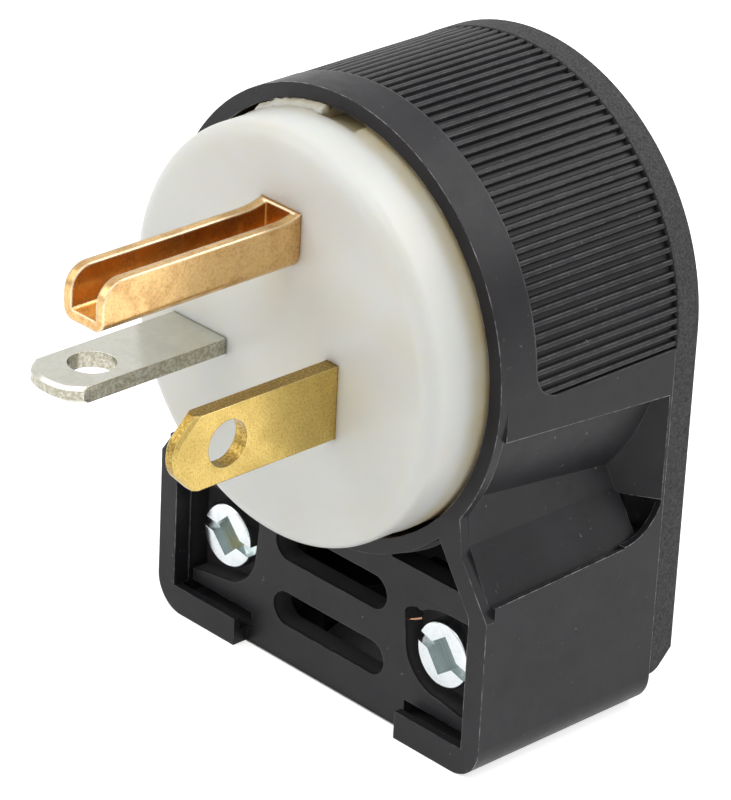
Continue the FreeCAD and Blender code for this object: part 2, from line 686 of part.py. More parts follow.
def make_housing():
    body = make_body("housing")
    add_between(
        body, "shell", "XZ", mouth_y, joint_y,
        lambda sketch: draw_body_outline(sketch, 0, S["base_corner"]),
    )
    cut_between(
        body, "rib_zone", "XZ", mouth_y + S["band_width"], joint_y,
        draw_rib_zone,
    )
    zone = body.Tip
    zone_y = mouth_y + S["band_width"]
    soften(
        body, "Fillet", "rib_zone_corners", zone, S["rib_zone_corner"],
        lambda edge, middle: near(middle.y, zone_y) and middle.z < AXIS_Z.number - 0.5
        and edge.Length < 0.7 and abs(middle.x) > 19,
    )
    rib_y = zone_y + 0.02
    rib = add_between(
        body, "rib", "XZ", rib_y, joint_y,
        draw_rib, (0, AXIS_Z),
    )
    pattern = body.newObject("PartDesign::PolarPattern", "ribs")
    pattern.Originals = [rib]
    pattern.Axis = (rib.Profile[0], ["N_Axis"])
    bind(pattern, "Angle", (S["rib_count"] - 1) * S["rib_step_angle"])
    bind(pattern, "Occurrences", S["rib_count"])
    body.Tip = pattern
    doc.recompute()
    cut_between(body, "panel", "XZ", mouth_y - 1, panel_y, draw_panel_recess)
    for side, word in ((1, "right"), (-1, "left")):
        cut_between(
            body, f"{word}_rim", "XZ", mouth_y - 1, mouth_y + S["rim_thickness"],
            lambda sketch: draw_rim(sketch, side),
        )
        cut_finger_recess(body, f"{word}_recess", side)
        add_between(
            body, f"{word}_web", "XY", S["web_foot_z"], AXIS_Z - 4,
            lambda sketch: draw_web(sketch, side),
        )
        near_x = side * (S["body_radius"] - S["cheek_thickness"])
        far_x = side * S["body_radius"]
        low_x, high_x = (near_x, far_x) if side > 0 else (far_x, near_x)
        add_between(body, f"{word}_cheek", "YZ", low_x, high_x, draw_cheek)
        gap_x = side * S["gap_inner_x"]
        low_x, high_x = (gap_x, near_x) if side > 0 else (near_x, gap_x)
        cut_between(
            body, f"{word}_gap", "YZ", low_x, high_x,
            lambda sketch: rectangle(
                sketch,
                joint_y - S["gap_depth"], S["gap_floor_z"],
                joint_y - S["recess_back_gap"], S["web_foot_z"],
            ),
        )
    cut_between(
        body, "mouth", "XZ", mouth_y, ledge_front_y,
        lambda sketch: draw_circle(sketch, (0, AXIS_Z), S["mouth_radius"]),
    )
    cut_between(
        body, "ledge_opening", "XZ", ledge_front_y, ledge_back_y,
        lambda sketch: draw_circle(sketch, (0, AXIS_Z), S["ledge_radius"]),
    )
    cut_between(
        body, "round_chamber", "XZ", ledge_back_y, joint_y,
        lambda sketch: draw_circle(sketch, (0, AXIS_Z), S["chamber_radius"]),
    )
    panel_back_y = panel_y + S["panel_thickness"]
    cut_between(body, "front_chamber", "XZ", panel_back_y, ledge_back_y, draw_front_chamber)
    cut_between(body, "rear_chamber", "XZ", ledge_back_y, joint_y, draw_rear_chamber)
    cut_between(
        body, "lower_slot", "XZ", panel_y, ledge_front_y,
        lambda sketch: draw_slot(sketch, S["lower_slot_z"]),
    )
    cut_between(
        body, "upper_slot", "XZ", panel_y, ledge_front_y,
        lambda sketch: draw_slot(sketch, S["upper_slot_z"]),
    )
    seat_back_y = seat_y + S["seat_thickness"]
    for side, word in ((1, "right"), (-1, "left")):
        inner_x = side * (S["pocket_inner"] - 1.2)
        outer_x = side * (S["chamber_half"] + 0.3)
        low_x, high_x = (inner_x, outer_x) if side > 0 else (outer_x, inner_x)
        add_between(
            body, f"{word}_seat", "XZ", panel_back_y, seat_back_y,
            lambda sketch: rectangle(sketch, low_x, S["floor_thickness"] - 0.5, high_x, S["pocket_top_z"] + 1.3),
        )
        cut_between(
            body, f"{word}_window", "XZ", panel_y, ledge_front_y,
            lambda sketch: draw_window(sketch, side),
        )
        cut_between(
            body, f"{word}_pocket", "XZ", panel_y, seat_y,
            lambda sketch: draw_screw_pocket(sketch, side),
        )
        cut_between(
            body, f"{word}_screw_hole", "XZ", seat_y, seat_back_y,
            lambda sketch: draw_circle(
                sketch, (side * S["screw_reach"], S["screw_z"]), S["screw_radius"] + S["fit_clearance"]
            ),
        )
        inner_x = side * S["gutter_inner"]
        outer_x = side * S["pocket_outer"]
        low_x, high_x = (inner_x, outer_x) if side > 0 else (outer_x, inner_x)
        cut_between(
            body, f"{word}_gutter", "XZ", mouth_y + S["lip_thickness"], seat_y + 1.2,
            lambda sketch: rectangle(sketch, low_x, S["gutter_floor_z"], high_x, S["gutter_top_z"]),
        )
    cut_between(
        body, "cord_hole", "XY", 0, S["floor_thickness"],
        lambda sketch: draw_circle(sketch, (0, 0), S["cord_hole_radius"]),
    )
    return body


def make_rear_cover():
    body = make_body("rear_cover")
    plate = add_between(
        body, "plate", "XZ", joint_y, rear_y,
        lambda sketch: draw_body_outline(sketch, S["cover_chamfer_start"], S["cover_corner"]),
    )
    soften(
        body, "Chamfer", "outer_edge", plate, S["cover_edge"],
        lambda edge, middle: near(middle.y, rear_y),
    )
    half = S["body_radius"] + 1
    cut_between(
        body, "lower_slope", "YZ", -half, half,
        lambda sketch: polygon(
            sketch,
            (rear_y - S["cover_chamfer"], S["cover_chamfer_start"]),
            (rear_y + 1, S["cover_chamfer_start"] + S["cover_chamfer"] + 1),
            (rear_y + 1, S["cover_chamfer_start"] - 1),
            (rear_y - S["cover_chamfer"], S["cover_chamfer_start"] - 1),
        ),
    )
    outer = S["chamber_radius"] - S["fit_clearance"]
    inner = outer - S["tongue_thickness"]
    centre = (0, AXIS_Z)
    add_between(
        body, "upper_tongue", "XZ", joint_y - S["tongue_length"], joint_y,
        lambda sketch: draw_outline(
            sketch,
            (inner, AXIS_Z),
            line((outer, AXIS_Z)),
            arc((0, AXIS_Z + outer), centre, outer, "ccw"),
            arc((-outer, AXIS_Z), centre, outer, "ccw"),
            line((-inner, AXIS_Z)),
            arc((0, AXIS_Z + inner), centre, inner, "cw"),
            arc((inner, AXIS_Z), centre, inner, "cw"),
        ),
    )
    half = S["chamber_half"] - S["fit_clearance"] - 2
    low = S["floor_thickness"] + S["fit_clearance"] + 0.05
    add_between(
        body, "lower_tongue", "XZ", joint_y - S["tongue_length"], joint_y,
        lambda sketch: rectangle(sketch, -half, low, half, low + S["tongue_thickness"]),
    )
    for side, word in ((1, "right"), (-1, "left")):
        place = (side * S["screw_reach"], S["screw_z"])
        add_between(
            body, f"{word}_boss", "XZ", boss_y, joint_y,
            lambda sketch: draw_circle(sketch, place, S["boss_radius"]),
        )
        cut_between(
            body, f"{word}_insert_hole", "XZ", boss_y, boss_y + S["insert_length"],
            lambda sketch: draw_circle(sketch, place, S["insert_radius"] + S["thread_clearance"]),
        )
    return body


def make_contact_face():
    body = make_body("contact_face")
    centre = (0, AXIS_Z)
    collar_y = face_y + S["carrier_front_length"]
    disc = add_between(
        body, "disc", "XZ", face_y, collar_y,
        lambda sketch: draw_circle(sketch, centre, S["carrier_radius"]),
    )
    soften(
        body, "Chamfer", "face_edge", disc, S["face_edge"],
        lambda edge, middle: near(middle.y, face_y),
    )
    add_between(
        body, "collar", "XZ", collar_y, ledge_front_y,
        lambda sketch: draw_circle(sketch, centre, S["collar_radius"]),
    )
    add_between(
        body, "neck", "XZ", ledge_front_y, ledge_back_y,
        lambda sketch: draw_circle(sketch, centre, S["ledge_radius"] - S["neck_clearance"]),
    )
    low_x = S["key_shift"] - S["key_half"]
    high_x = S["key_shift"] + S["key_half"]
    cut_between(
        body, "index_notch", "XZ", face_y + 0.9, ledge_front_y,
        lambda sketch: rectangle(
            sketch, low_x, AXIS_Z + S["key_root_radius"], high_x, AXIS_Z + S["collar_radius"] + 1
        ),
    )
    cut_blade_slots(body, face_y, ledge_back_y, draw_pin_hole)
    for side, word in ((1, "right"), (-1, "left")):
        place = (side * S["carrier_screw_reach"], AXIS_Z + S["carrier_screw_rise"])
        cut_between(
            body, f"{word}_screw_hole", "XZ", retainer_back_y - S["carrier_screw_length"] - 0.6, ledge_back_y,
            lambda sketch: draw_circle(sketch, place, S["carrier_screw_radius"] + S["thread_clearance"]),
        )
    return body


def hot_box(margin):
    half_x = S["blade_thickness"] / 2 + margin
    half_z = S["blade_width"] / 2 + margin
    centre_z = AXIS_Z - S["blade_row_drop"]
    return (S["hot_x"] - half_x, centre_z - half_z, S["hot_x"] + half_x, centre_z + half_z)


def neutral_box(margin):
    half_x = S["blade_width"] / 2 + margin
    half_z = S["blade_thickness"] / 2 + margin
    centre_z = AXIS_Z - S["blade_row_drop"]
    return (-S["neutral_x"] - half_x, centre_z - half_z, -S["neutral_x"] + half_x, centre_z + half_z)


def draw_channel(sketch, margin, fold_radius):
    """The ground pin seen from the front, open at the top."""
    half = S["pin_width"] / 2 + margin
    low = AXIS_Z + S["pin_floor_z"] - margin
    high = AXIS_Z + S["pin_floor_z"] + S["pin_height"] + margin
    wall = S["pin_wall"] + 2 * margin
    inner = fold_radius - wall
    outer = fold_radius
    draw_outline(
        sketch,
        (-half + outer, low),
        line((half - outer, low)),
        arc((half, low + outer), (half - outer, low + outer), outer, "ccw"),
        line((half, high)),
        line((half - wall, high)),
        line((half - wall, low + outer)),
        arc((half - outer, low + wall), (half - outer, low + outer), inner, "cw"),
        line((-half + outer, low + wall)),
        arc((-half + wall, low + outer), (-half + outer, low + outer), inner, "cw"),
        line((-half + wall, high)),
        line((-half, high)),
        line((-half, low + outer)),
        arc((-half + outer, low), (-half + outer, low + outer), outer, "ccw"),
    )


def draw_pin_hole(sketch):
    """The hole for the pin in the face. It takes the raised ends of the channel walls too."""
    margin = S["slot_clearance"]
    half = S["pin_width"] / 2 + margin
    low = AXIS_Z + S["pin_floor_z"] - margin
    high = AXIS_Z + S["pin_floor_z"] + S["pin_height"] + S["pin_rise"] + margin
    corner = S["pin_fold_radius"]
    draw_outline(
        sketch,
        (-half + corner, low),
        line((half - corner, low)),
        arc((half, low + corner), (half - corner, low + corner), corner, "ccw"),
        line((half, high)),
        line((-half, high)),
        line((-half, low + corner)),
        arc((-half + corner, low), (-half + corner, low + corner), corner, "ccw"),
    )


def cut_blade_slots(body, low, high, draw_ground):
    """The slots for the two flat blades, and the hole for the pin."""
    cut_between(
        body, "hot_slot", "XZ", low, high,
        lambda sketch: rectangle(sketch, *hot_box(S["slot_clearance"])),
    )
    cut_between(
        body, "neutral_slot", "XZ", low, high,
        lambda sketch: rectangle(sketch, *neutral_box(S["slot_clearance"])),
    )
    cut_between(body, "ground_slot", "XZ", low, high, draw_ground)


def make_carrier_back():
    body = make_body("carrier_back")
    add_between(
        body, "disc", "XZ", ledge_back_y, retainer_back_y,
        lambda sketch: draw_circle(sketch, (0, AXIS_Z), S["retainer_radius"]),
    )
    half = S["barrier_thickness"] / 2
    wall_top = AXIS_Z + S["pin_floor_z"] - 0.3
    wall_low = wall_top - S["barrier_thickness"]
    wall_end = retainer_back_y + S["barrier_height"]
    add_between(
        body, "upright_wall", "XZ", retainer_back_y, wall_end,
        lambda sketch: rectangle(sketch, -half, AXIS_Z - S["barrier_reach"], half, wall_low + 0.2),
    )
    add_between(
        body, "level_wall", "XZ", retainer_back_y, wall_end,
        lambda sketch: rectangle(sketch, -S["barrier_arm"], wall_low, S["barrier_arm"], wall_top),
    )
    cut_blade_slots(
        body, ledge_back_y, retainer_back_y,
        lambda sketch: draw_channel(sketch, S["slot_clearance"], S["pin_fold_radius"]),
    )
    for side, word in ((1, "right"), (-1, "left")):
        place = (side * S["carrier_screw_reach"], AXIS_Z + S["carrier_screw_rise"])
        cut_between(
            body, f"{word}_screw_hole", "XZ", ledge_back_y, retainer_back_y,
            lambda sketch: draw_circle(sketch, place, S["carrier_screw_radius"] + S["fit_clearance"]),
        )
    return body


def draw_bent_strip(sketch, front, back, near_side, far_side, away, thickness):
    """A blade that runs back and turns into a tab. away is 1 or -1, the way the tab turns."""
    inner = S["bend_radius"]
    outer = inner + thickness
    tab_front = back - thickness
    turn = "ccw" if away > 0 else "cw"
    unturn = "cw" if away > 0 else "ccw"
    draw_outline(
        sketch,
        (near_side, front),
        line((near_side + away * thickness, front)),
        line((near_side + away * thickness, tab_front - inner)),
        arc(
            (near_side + away * outer, tab_front),
            (near_side + away * outer, tab_front - inner),
            inner,
            unturn,
        ),
        line((far_side, tab_front)),
        line((far_side, back)),
        line((near_side + away * outer, back)),
        arc(
            (near_side, back - outer),
            (near_side + away * outer, back - outer),
            outer,
            turn,
        ),
        line((near_side, front)),
    )


def draw_tip_waste(sketch, middle, length, cut, swap):
    """What is cut away round the tip of a flat blade. swap turns the outline a quarter."""
    tip = face_y - length
    shoulder = tip + S["blade_nose"]
    corner = shoulder + cut
    half = S["blade_width"] / 2
    chord = half - cut
    radius = (chord * chord + S["blade_nose"] * S["blade_nose"]) / (2 * S["blade_nose"])
    wide = half + 1
    ahead = tip - 1

    def place(across, along):
        return (middle + across, along) if swap else (along, middle + across)

    turn = "cw" if swap else "ccw"
    draw_outline(
        sketch,
        place(half, corner),
        line(place(chord, shoulder)),
        arc(place(0, tip), place(0, tip + radius), radius, turn),
        arc(place(-chord, shoulder), place(0, tip + radius), radius, turn),
        line(place(-half, corner)),
        line(place(-wide, corner)),
        line(place(-wide, ahead)),
        line(place(wide, ahead)),
        line(place(wide, corner)),
        line(place(half, corner)),
    )


def bevel_tip(body, length, cut, low, high, axis):
    """A small bevel on both faces of a flat blade, all round its tip."""
    tip = body.Tip
    reach = (face_y - length + S["blade_nose"] + cut).number + 0.05
    soften(
        body, "Chamfer", "tip_bevel", tip, S["blade_bevel"],
        lambda edge, middle: middle.y < reach
        and (near(getattr(middle, axis), low) or near(getattr(middle, axis), high)),
    )


def make_hot_blade():
    body = make_body("hot_blade")
    low_x, low_z, high_x, high_z = hot_box(0)
    middle_z = AXIS_Z - S["blade_row_drop"]
    back = tab_y + S["blade_thickness"]
    add_between(
        body, "strip", "XY", low_z, high_z,
        lambda sketch: draw_bent_strip(
            sketch, face_y - S["hot_length"], back,
            low_x, low_x + S["hot_tab_length"], 1, S["blade_thickness"],
        ),
    )
    cut_between(
        body, "tip", "YZ", low_x, high_x,
        lambda sketch: draw_tip_waste(sketch, middle_z, S["hot_length"], S["hot_corner"], False),
    )
    bevel_tip(body, S["hot_length"], S["hot_corner"], low_x, high_x, "x")
    cut_between(
        body, "hole", "YZ", low_x, high_x,
        lambda sketch: draw_circle(sketch, (face_y - S["blade_hole_reach"], middle_z), S["blade_hole_radius"]),
    )
    cut_between(
        body, "tab_hole", "XZ", tab_y, back,
        lambda sketch: draw_circle(
            sketch, (S["hot_x"] + S["hot_tab_screw"], middle_z), S["terminal_radius"] + S["tab_hole_clearance"]
        ),
    )
    return body


def draw_bent_strip_upright(sketch, front, back, low, high, thickness):
    """A strip that runs back and turns up into a tab, seen from the side."""
    inner = S["bend_radius"]
    outer = inner + thickness
    tab_front = back - thickness
    draw_outline(
        sketch,
        (front, low),
        line((back - outer, low)),
        arc((back, low + outer), (back - outer, low + outer), outer, "ccw"),
        line((back, high)),
        line((tab_front, high)),
        line((tab_front, low + outer)),
        arc((tab_front - inner, low + thickness), (tab_front - inner, low + outer), inner, "cw"),
        line((front, low + thickness)),
        line((front, low)),
    )


def make_neutral_blade():
    body = make_body("neutral_blade")
    low_x, low_z, high_x, high_z = neutral_box(0)
    back = tab_y + S["blade_thickness"]
    add_between(
        body, "strip", "YZ", low_x, high_x,
        lambda sketch: draw_bent_strip_upright(
            sketch, face_y - S["neutral_length"], back,
            low_z, low_z + S["neutral_tab_length"], S["blade_thickness"],
        ),
    )
    cut_between(
        body, "tip", "XY", low_z, high_z,
        lambda sketch: draw_tip_waste(
            sketch, -S["neutral_x"], S["neutral_length"], S["neutral_corner"], True
        ),
    )
    bevel_tip(body, S["neutral_length"], S["neutral_corner"], low_z, high_z, "z")
    cut_between(
        body, "hole", "XY", low_z, high_z,
        lambda sketch: draw_circle(sketch, (-S["neutral_x"], face_y - S["blade_hole_reach"]), S["blade_hole_radius"]),
    )
    screw_z = AXIS_Z - S["blade_row_drop"] + S["neutral_tab_screw"]
    cut_between(
        body, "tab_hole", "XZ", tab_y, back,
        lambda sketch: draw_circle(
            sketch, (-S["neutral_x"], screw_z), S["terminal_radius"] + S["tab_hole_clearance"]
        ),
    )
    return body


def draw_pin_rise(sketch, top):
    """The top of a channel wall, seen from the side. It curves up to the face and sits in it."""
    start = face_y - S["pin_rise_length"]
    end = face_y + S["pin_seat"]
    rise = S["pin_rise"]
    radius = (S["pin_rise_length"] * S["pin_rise_length"] + rise * rise) / (2 * rise)
    draw_outline(
        sketch,
        (start, top - S["pin_wall"]),
        line((end, top - S["pin_wall"])),
        line((end, top + rise)),
        line((face_y, top + rise)),
        arc((start, top), (start, top + radius), radius, "cw"),
        line((start, top - S["pin_wall"])),
    )


def make_ground_pin():
    body = make_body("ground_pin")
    wall = S["pin_wall"]
    low_z = AXIS_Z + S["pin_floor_z"]
    front = face_y - S["pin_length"]
    back = tab_y + wall
    channel = add_between(
        body, "channel", "XZ", front, retainer_back_y,
        lambda sketch: draw_channel(sketch, 0, S["pin_fold_radius"]),
    )
    top_z = low_z + S["pin_height"]
    soften(
        body, "Fillet", "nose", channel, S["pin_nose"],
        lambda edge, middle: near(middle.y, front) and near(middle.z, top_z) and edge.Length < 1.5,
    )
    outside = S["pin_width"] / 2
    inside = outside - wall
    for side, word in ((1, "right"), (-1, "left")):
        low_x, high_x = (inside, outside) if side > 0 else (-outside, -inside)
        add_between(body, f"{word}_rise", "YZ", low_x, high_x, lambda sketch: draw_pin_rise(sketch, top_z))
    add_between(
        body, "stop_wall", "XZ", face_y - S["pin_stop"], face_y + S["pin_seat"],
        lambda sketch: rectangle(
            sketch, -inside - wall / 2, low_z + wall / 2, inside + wall / 2, top_z + S["pin_rise"]
        ),
    )
    half = S["pin_width"] / 2 - S["pin_fold_radius"]
    add_between(
        body, "floor_strip", "YZ", -half, half,
        lambda sketch: draw_bent_strip_upright(
            sketch, retainer_back_y - 3, back, low_z, low_z + S["ground_tab_length"], wall
        ),
    )
    tab_low = low_z + wall + S["bend_radius"]
    add_between(
        body, "tab", "XZ", tab_y, back,
        lambda sketch: rectangle(
            sketch, -S["ground_tab_half"], tab_low, S["ground_tab_half"], low_z + S["ground_tab_length"]
        ),
    )
    cut_between(
        body, "tab_hole", "XZ", tab_y, back,
        lambda sketch: draw_circle(
            sketch, (0, low_z + S["ground_tab_screw"]), S["terminal_radius"] + S["tab_hole_clearance"]
        ),
    )
    return body


def make_clamp_plate(label, centre):
    """A square threaded plate between the carrier and a terminal tab."""
    body = make_body(label)
    half = S["plate_half"]
    cut = half - S["plate_corner"]
    add_between(
        body, "plate", "XZ", retainer_back_y, plate_back_y,
        lambda sketch: polygon(
            sketch,
            (-cut, -half), (cut, -half), (half, -cut), (half, cut),
            (cut, half), (-cut, half), (-half, cut), (-half, -cut),
        ),
        centre,
    )
    cut_between(
        body, "thread", "XZ", retainer_back_y, plate_back_y,
        lambda sketch: draw_circle(sketch, (0, 0), S["terminal_radius"] + S["thread_clearance"]),
        centre,
    )
    return body


def make_plain_screw(label, centre, tip_y, under_head_y, head_end_y, shank, head, slot_angle):
    """A screw along Y. The driver slot is in the end of the head."""
    body = make_body(label)
    forward = head_end_y.number < under_head_y.number
    low, high = (under_head_y, tip_y) if forward else (tip_y, under_head_y)
    add_between(body, "shank", "XZ", low, high, lambda sketch: draw_circle(sketch, (0, 0), shank), centre)
    low, high = (head_end_y, under_head_y) if forward else (under_head_y, head_end_y)
    cap = add_between(body, "head", "XZ", low, high, lambda sketch: draw_circle(sketch, (0, 0), head), centre)
    soften(
        body, "Chamfer", "head_edge", cap, S["screw_head_edge"],
        lambda edge, middle: near(middle.y, head_end_y) and edge.Length > 2,
    )
    depth = S["driver_slot_depth"]
    low, high = (head_end_y, head_end_y + depth) if forward else (head_end_y - depth, head_end_y)
    half = S["driver_slot"] / 2
    reach = head + 0.5
    corners = ((-reach, -half), (reach, -half), (reach, half), (-reach, half))
    cut_between(
        body, "driver_slot", "XZ", low, high,
        lambda sketch: polygon(sketch, *[turned(corner, slot_angle) for corner in corners]),
        centre,
    )
    return body


def make_cover_screw(label, side, slot_angle):
    centre = (side * S["screw_reach"], S["screw_z"])
    tip_y = boss_y + S["insert_length"] - S["screw_end_gap"]
    body = make_plain_screw(
        label, centre, tip_y, seat_y, seat_y - S["screw_head_height"],
        S["screw_radius"], S["screw_head_radius"], slot_angle,
    )
    half = S["driver_square"] / 2
    corners = ((-half, -half), (half, -half), (half, half), (-half, half))
    head_y = seat_y - S["screw_head_height"]
    cut_between(
        body, "driver_square", "XZ", head_y, head_y + S["driver_square_depth"],
        lambda sketch: polygon(sketch, *[turned(corner, slot_angle) for corner in corners]),
        centre,
    )
    return body


def make_terminal_screw(label, centre, tab_thickness, slot_angle):
    under_head = tab_y + tab_thickness
    return make_plain_screw(
        label, centre, retainer_back_y + 0.1, under_head, under_head + S["terminal_head_height"],
        S["terminal_radius"], S["terminal_head"], slot_angle,
    )


def make_carrier_screw(label, side, slot_angle):
    centre = (side * S["carrier_screw_reach"], AXIS_Z + S["carrier_screw_rise"])
    return make_plain_screw(
        label, centre, retainer_back_y - S["carrier_screw_length"], retainer_back_y,
        retainer_back_y + S["carrier_screw_head_height"],
        S["carrier_screw_radius"], S["carrier_screw_head"], slot_angle,
    )


def make_insert(label, side):
    """A brass insert moulded into a boss, with a groove round its middle."""
    body = make_body(label)
    centre = (side * S["screw_reach"], S["screw_z"])
    add_between(
        body, "sleeve", "XZ", boss_y, boss_y + S["insert_length"],
        lambda sketch: draw_circle(sketch, (0, 0), S["insert_radius"]),
        centre,
    )
    cut_between(
        body, "thread", "XZ", boss_y, boss_y + S["insert_length"],
        lambda sketch: draw_circle(sketch, (0, 0), S["screw_radius"] + S["thread_clearance"]),
        centre,
    )
    groove_y = boss_y + S["insert_length"] / 3

    def draw_groove(sketch):
        draw_circle(sketch, (0, 0), S["insert_radius"] + 0.5)
        draw_circle(sketch, (0, 0), S["insert_radius"] - S["insert_groove"])

    cut_between(body, "groove", "XZ", groove_y, groove_y + S["insert_length"] / 3, draw_groove, centre)
    return body


def make_cord_saddle():
    body = make_body("cord_saddle")
    half = S["saddle_half"]
    front = boss_y - S["saddle_thickness"]
    deep = front + S["saddle_groove_depth"]
    low = S["screw_z"] - S["saddle_height"] / 2
    add_between(
        body, "bar", "XY", low, low + S["saddle_height"],
        lambda sketch: polygon(
            sketch,
            (-half, front),
            (-S["saddle_groove"], front),
            (-S["saddle_flat"], deep),
            (S["saddle_flat"], deep),
            (S["saddle_groove"], front),
            (half, front),
            (half, boss_y),
            (-half, boss_y),
        ),
    )
    for side, word in ((1, "right"), (-1, "left")):
        cut_between(
            body, f"{word}_hole", "XZ", front, boss_y,
            lambda sketch: draw_circle(
                sketch, (side * S["screw_reach"], S["screw_z"]), S["screw_radius"] + S["saddle_hole_clearance"]
            ),
        )
    return body


hot_screw = (S["hot_x"] + S["hot_tab_screw"], AXIS_Z - S["blade_row_drop"])
neutral_screw = (-S["neutral_x"], AXIS_Z - S["blade_row_drop"] + S["neutral_tab_screw"])
ground_screw = (as_size(0), AXIS_Z + S["pin_floor_z"] + S["ground_tab_screw"])

bodies = [
    make_housing(),
    make_rear_cover(),
    make_contact_face(),
    make_carrier_back(),
    make_hot_blade(),
    make_neutral_blade(),
    make_ground_pin(),
    make_clamp_plate("hot_clamp_plate", hot_screw),
    make_clamp_plate("neutral_clamp_plate", neutral_screw),
    make_clamp_plate("ground_clamp_plate", ground_screw),
    make_terminal_screw("hot_terminal_screw", hot_screw, S["blade_thickness"], 35),
    make_terminal_screw("neutral_terminal_screw", neutral_screw, S["blade_thickness"], 70),
    make_terminal_screw("ground_terminal_screw", ground_screw, S["pin_wall"], -20),
    make_cord_saddle(),
    make_cover_screw("left_clamp_screw", -1, -S["left_screw_turn"]),
    make_cover_screw("right_clamp_screw", 1, -S["right_screw_turn"]),
    make_insert("left_cover_insert", -1),
    make_insert("right_cover_insert", 1),
    make_carrier_screw("left_carrier_screw", -1, 50),
    make_carrier_screw("right_carrier_screw", 1, 15),
]

doc.recompute()
for item in doc.Objects:
    if "Invalid" in item.State or "Error" in item.State:
        raise RuntimeError(f"{item.Name} did not build: {item.State}")
for body in bodies:
    if body.Shape.isNull() or not body.Shape.isValid():
        raise RuntimeError(f"{body.Label} is not a sound solid")
    for feature in body.Group:
        if feature.TypeId in ("PartDesign::Pocket", "PartDesign::SubtractiveLoft"):
            before = feature.BaseFeature.Shape.Volume
            if before - feature.Shape.Volume < 0.001:
                raise RuntimeError(f"{body.Label} {feature.Name} removed nothing")

os.makedirs("parts", exist_ok=True)
for body in bodies:
    body.Shape.exportStep(f"parts/{body.Label}.step")
    box = body.Shape.BoundBox
    print(body.Label, len(body.Shape.Solids), round(body.Shape.Volume, 1), [round(v, 2) for v in (
        box.XMin, box.XMax, box.YMin, box.YMax, box.ZMin, box.ZMax)])
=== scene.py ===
# %% [markdown]
# An angled power plug: a black moulded body, a white face with two flat blades and a folded
# ground pin, and two bright screws in the pockets below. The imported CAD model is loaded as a
# fixed frame, and everything else is placed from it, in metres.

# %% Load the frame
import math

import bmesh
import bpy
from mathutils import Matrix, Vector, noise


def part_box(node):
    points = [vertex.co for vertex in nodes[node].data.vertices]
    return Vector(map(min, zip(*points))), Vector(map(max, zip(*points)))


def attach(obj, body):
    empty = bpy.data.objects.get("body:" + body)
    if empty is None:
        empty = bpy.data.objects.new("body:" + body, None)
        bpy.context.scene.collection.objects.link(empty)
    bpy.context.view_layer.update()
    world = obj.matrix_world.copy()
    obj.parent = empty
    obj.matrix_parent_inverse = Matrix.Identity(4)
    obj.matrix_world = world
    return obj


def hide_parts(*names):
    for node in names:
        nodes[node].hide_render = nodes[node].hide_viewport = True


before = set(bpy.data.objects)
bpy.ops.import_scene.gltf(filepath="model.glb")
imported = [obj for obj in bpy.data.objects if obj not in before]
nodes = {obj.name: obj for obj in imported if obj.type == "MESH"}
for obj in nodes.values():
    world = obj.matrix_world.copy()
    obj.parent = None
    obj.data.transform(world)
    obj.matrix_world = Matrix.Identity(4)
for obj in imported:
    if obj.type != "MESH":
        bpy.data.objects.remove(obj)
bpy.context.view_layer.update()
MM = 0.001

# %% [markdown]
# Colours are shown as they are, with the Standard view transform. The filmic ones press bright
# colours together, and then white paper comes out grey and gold comes out orange.

# %% View transform
bpy.context.scene.view_settings.view_transform = "Standard"
print("view transform:", bpy.context.scene.view_settings.view_transform)

# %% [markdown]
# The white face, the mouth of the body and the axis of its arch are read from the frame, so that
# the looks follow the CAD if a size changes. The face looks towards -Y, and the base is at Z 0.

# %% Places read from the frame
face_low, face_high = (Vector(corner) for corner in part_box("contact_face"))
housing_low, housing_high = (Vector(corner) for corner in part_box("housing"))
FACE_Y = face_low.y
MOUTH_Y = housing_low.y
AXIS_Z = housing_high.z - housing_high.x
print(f"face at y {FACE_Y / MM:.2f} mm, mouth {MOUTH_Y / MM:.2f} mm, axis z {AXIS_Z / MM:.2f} mm")

# %% [markdown]
# The camera stands where the photographer stood. A long lens flattens the plug only a little,
# so the blades, which reach forwards, still look larger than the cover. The direction is given
# as an azimuth and a height, and the small roll is that of a camera held by hand. All of these
# numbers were found together, by fitting corners of the plug to the photo.

# %% Camera
CAMERA_AZIMUTH = math.radians(45.52)
CAMERA_HEIGHT = math.radians(26.27)
CAMERA_ROLL = math.radians(2.90)
CAMERA_DISTANCE = 367.1 * MM
CAMERA_TARGET = Vector((0.25, -6.6, 25.7)) * MM
LENS_MM = 204.03
SENSOR_WIDTH_MM = 36

toward = Vector((
    math.sin(CAMERA_AZIMUTH) * math.cos(CAMERA_HEIGHT),
    -math.cos(CAMERA_AZIMUTH) * math.cos(CAMERA_HEIGHT),
    math.sin(CAMERA_HEIGHT),
))
level_right = Vector((math.cos(CAMERA_AZIMUTH), math.sin(CAMERA_AZIMUTH), 0))
right = Matrix.Rotation(CAMERA_ROLL, 3, toward) @ level_right
up = toward.cross(right)
camera_data = bpy.data.cameras.new("Camera")
camera_data.sensor_width = SENSOR_WIDTH_MM
camera_data.lens = LENS_MM
camera_data.clip_start = 10 * MM
camera = bpy.data.objects.new("Camera", camera_data)
bpy.context.scene.collection.objects.link(camera)
axes = Matrix((right, up, toward)).transposed().to_4x4()
camera.matrix_world = Matrix.Translation(CAMERA_TARGET + toward * CAMERA_DISTANCE) @ axes
bpy.context.scene.camera = camera
print("camera at", [round(value / MM, 1) for value in camera.matrix_world.translation])

# %% [markdown]
# Colours are written as the hex values that a picture editor shows. Blender works with linear
# light, so one function converts them. One more adds a node to a material, with its settings and
# its inputs. An input may be a plain value, another node's output, or a node, which stands for its
# first output.

